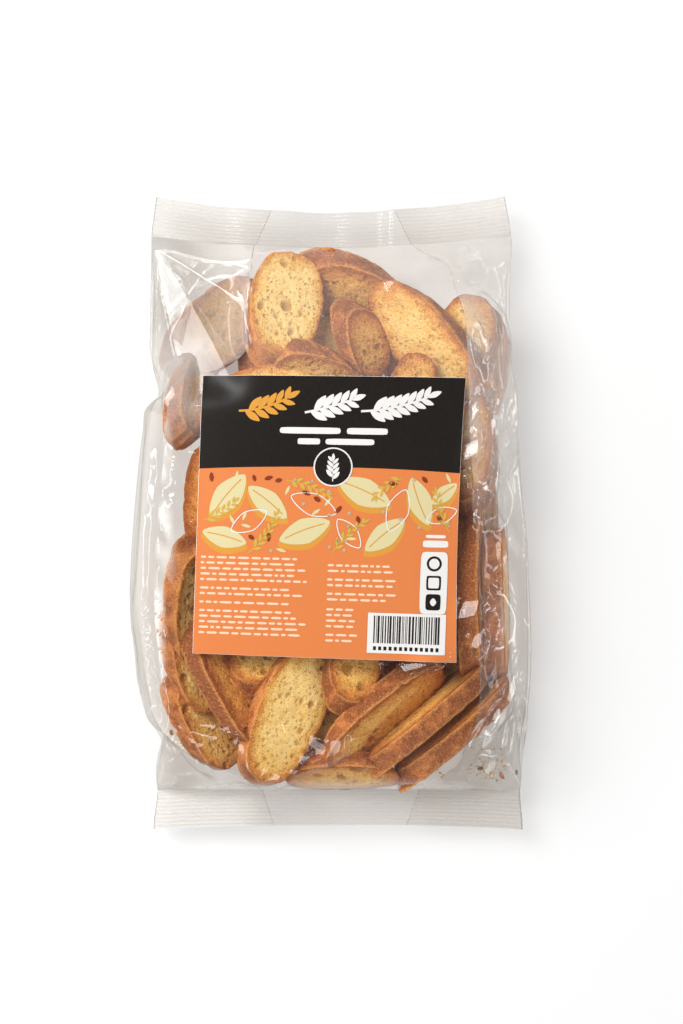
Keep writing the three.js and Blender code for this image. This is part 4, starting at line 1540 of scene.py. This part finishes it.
def build_label(film):
    """The paper and, laid on it colour by colour, its print: rows of shapes for inked."""
    surface = LabelSurface(film)
    rng = np.random.default_rng(12)
    points, quads = paper_sheet(surface)
    paper = make_piece("label_paper", points, quads, [coated_paper()], "label_paper")
    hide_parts("label")

    dark_field = colour_field(surface, field_edge, lambda u: LABEL_HEIGHT / 2 - BARE_EDGE)
    orange_field = colour_field(surface, lambda u: -LABEL_HEIGHT / 2 + BARE_EDGE, field_edge)
    backs = [(u, v - 1.5, half + 0.3, wide + 0.3, turn, POINTED) for u, v, half, wide, turn in KERNELS]
    kernels = [(u, v + 0.7, half - 0.5, wide - 0.6, turn, POINTED) for u, v, half, wide, turn in KERNELS]
    ribs = kernel_ribs(surface)
    stems, leaves = [], []
    for row in SPRIGS:
        stem_u, stem_v, some = sprig(*row, 2.3)
        stems.append(inked_line(surface, stem_u, stem_v, 0.5, level(3)))
        leaves += some
    places = scattered(rng, 40, 0.8)
    seeds = [
        (u, v, rng.uniform(1.7, 2.4), rng.uniform(0.9, 1.2), rng.uniform(0, 180), 1.7) for u, v in places[:14]
    ]
    dots = [(u, v, 0.9, 0.9, 0, ROUND) for u, v in places[14:30]]
    oats = [(u, v, 2.6, 0.8, rng.uniform(0, 180), POINTED) for u, v in places[30:]]
    outlines = [outlined(surface, (*row, POINTED), 0.5, level(6)) for row in OUTLINES]

    titles = [sprig(*row, 40.0) for row in TITLE]
    title_stems = [inked_line(surface, stem_u, stem_v, 1.1, level(2)) for stem_u, stem_v, _ in titles]
    badge = (1, 25, 9.4, 9.4, 0, ROUND)
    badge_stem_u, badge_stem_v, badge_leaves = sprig(1, 17.8, 90, 10, 0, 4, 2.5, 42.0)
    subtitle = [(-11, 43.0, 15.2, 1.6, 0, 7), (17.5, 43.0, 10.2, 1.6, 0, 7)]
    subtitle += [(-11.5, 37.6, 5.6, 1.5, 0, 7), (9, 37.6, 12.2, 1.5, 0, 7)]
    weight = [(53.5, -8.5, 5.0, 0.8, 0, 6), (53.5, -12.2, 6.4, 1.7, 0, 6)]
    text = [bar for block in TEXT_BLOCKS for bar in words(*block, rng)]
    boxes = [(40.5, -57, 19.5, 10, 0, SQUARE)]
    sign_box = [(53.2, -31.5, 6.8, 15.4, 0, 9)]
    bars = code_bars(rng)
    signs = [(53.2, -22, 3.8, 3.8, 0, ROUND), (53.2, -31.5, 3.7, 3.6, 0, 8), (53.2, -41, 3.8, 4.0, 0, 6)]
    holes = [(53.2, -22, 2.6, 2.6, 0, ROUND), (53.2, -31.5, 2.7, 2.6, 0, 8)]
    holes += [(53.2, -41, 1.6, 2.0, 0, POINTED)]

    prints = [
        ("label_black", "#1B1613", [dark_field, inked(surface, [badge], level(7)),
            inked(surface, bars, level(8), (1, 8)), inked(surface, signs, level(8))]),
        ("label_orange", "#CD7742", [orange_field]),
        ("label_amber", "#C88C38", [inked(surface, backs, level(2), (14, 8)),
            inked(surface, titles[0][2], level(3)), title_stems[0]] + ribs),
        ("label_cream", "#C9BD8F", [inked(surface, kernels, level(4), (14, 8)),
            inked(surface, oats, level(3))]),
        ("label_wheat", "#C19C45", [inked(surface, leaves, level(6))] + stems),
        ("label_brown", "#7E3320", [inked(surface, seeds, level(6))]),
        ("label_grey", "#B59A7C", [inked(surface, dots, level(6))]),
        ("label_white", "#D8D5D1", outlines + title_stems[1:] + [outlined(surface, badge, 0.7, level(8)),
            inked(surface, badge_leaves, level(9)),
            inked_line(surface, badge_stem_u, badge_stem_v, 0.5, level(9)),
            inked(surface, subtitle, level(3)), inked(surface, titles[1][2] + titles[2][2], level(3)),
            inked(surface, weight, level(3)), inked(surface, boxes, level(7), (24, 12)),
            inked(surface, sign_box, level(7), (16, 12)), inked(surface, holes, level(9))]),
        ("label_pale", "#E6C0A4", [inked(surface, text, level(2), (4, 2))]),
    ]
    for name, colour, parts in prints:
        points, quads = joined(parts)
        make_piece(name, points, quads, [printed_ink(name, colour)], "label_print")


# --------------------------------------------------------------------------------------------------
# Studio
# --------------------------------------------------------------------------------------------------


# Area lamps, in metres and watts: name, place, size, power and whether film and varnish mirror them. Each
# faces the middle of the bag.
LAMPS = [
    ("key", (-0.7, 0.65, 1.35), (1.1, 1.1), 23.5, False),
    ("window", (-1.0, 0.8, 1.2), (0.6, 0.6), 9.0, True),
    ("lamp", (-1.1, 0.95, 0.82), (0.3, 0.3), 4.0, True),
    ("right_strip", (1.27, 0.05, 0.85), (1.0, 0.18), 3.6, True),
    ("near_strip", (0.95, -0.95, 0.7), (0.7, 0.3), 4.5, True),
    ("low_strip", (-0.62, -1.07, 0.95), (0.34, 0.34), 2.4, True),
    ("left_strip", (-1.2, -0.1, 0.55), (1.2, 0.16), 4.0, True),
]
FLOOR_HALF, FLOOR_DROP = 3.0, 0.0002  # metres: half the floor's side, and how far it lies below the bag


def studio():
    """A pale floor and a light world, a large soft key from the upper left that film and varnish don't
    mirror, as if it were polarised away, and a window, a small lamp and four strips that they do mirror."""
    floor_mesh = bpy.data.meshes.new("floor")
    corners = [(x * FLOOR_HALF, y * FLOOR_HALF, -FLOOR_DROP) for x, y in ((-1, -1), (1, -1), (1, 1), (-1, 1))]
    floor_mesh.from_pydata(corners, [], [(0, 1, 2, 3)])
    floor = bpy.data.objects.new("floor", floor_mesh)
    bpy.context.scene.collection.objects.link(floor)
    material, tree, output = new_material("pale_floor")
    shader = add(tree, "ShaderNodeBsdfPrincipled", {"Base Color": linear("#BEBEBD"), "Roughness": 0.9})
    shader.inputs["Emission Color"].default_value = linear("#FFFFFF")
    shader.inputs["Emission Strength"].default_value = 0.33
    tree.links.new(shader.outputs[0], output.inputs["Surface"])
    floor_mesh.materials.append(material)

    world = bpy.data.worlds.new("studio")
    world.use_nodes = True
    sky = world.node_tree
    direction = add(sky, "ShaderNodeTexCoord").outputs["Generated"]
    upward = add(sky, "ShaderNodeSeparateXYZ", {0: direction}).outputs["Z"]
    walls = add(sky, "ShaderNodeMapRange", {0: upward, 1: 0.0, 2: 1.0, 3: 0.5, 4: 0.15}).outputs[0]
    sky.nodes["Background"].inputs["Color"].default_value = linear("#F4F6FA")
    sky.links.new(walls, sky.nodes["Background"].inputs["Strength"])
    bpy.context.scene.world = world
    for name, place, size, power, mirrors in LAMPS:
        lamp = bpy.data.lights.new(name, "AREA")
        lamp.shape = "RECTANGLE"
        lamp.size, lamp.size_y = size
        lamp.energy = power
        holder = bpy.data.objects.new(name, lamp)
        holder.location = place
        holder.visible_glossy = mirrors
        aim = -np.array(place)
        holder.rotation_euler = (
            math.atan2(math.hypot(aim[0], aim[1]), -aim[2]),
            0,
            math.atan2(aim[1], aim[0]) - math.pi / 2,
        )
        bpy.context.scene.collection.objects.link(holder)


def camera():
    """Straight above the bag, far enough away that the perspective is slight."""
    lens = bpy.data.cameras.new("camera")
    lens.lens = 90.0
    lens.sensor_width = 36.0
    lens.clip_end = 20
    holder = bpy.data.objects.new("camera", lens)
    holder.location = (0.0041, 0.0005, 1.327)
    bpy.context.scene.collection.objects.link(holder)
    bpy.context.scene.camera = holder


scene = bpy.context.scene
scene.view_settings.view_transform = "Standard"
camera()
studio()
CRUMB, CRUST = toasted_crumb(), toasted_crust()
LAID = heap_of_slices(CRUMB, CRUST)
FILM = crumpled_film(LAID)
build_film(FILM)
build_label(FILM)
scattered_bits("loose_crumbs", CRUMB_SPOTS, FILM, (0.4, 1.3), (1.2, 0.9, 0.7), CRUMB, "toasted_crumb", 21)
scattered_bits("crust_flakes", FLAKE_SPOTS, FILM, (1.6, 3.0), (1.6, 0.9, 0.3), CRUST, "toasted_crust", 23)
scattered_bits("loose_seeds", SEED_SPOTS, FILM, (1.8, 2.4), (1.5, 0.85, 0.45), seed_coat(), "seeds", 22)
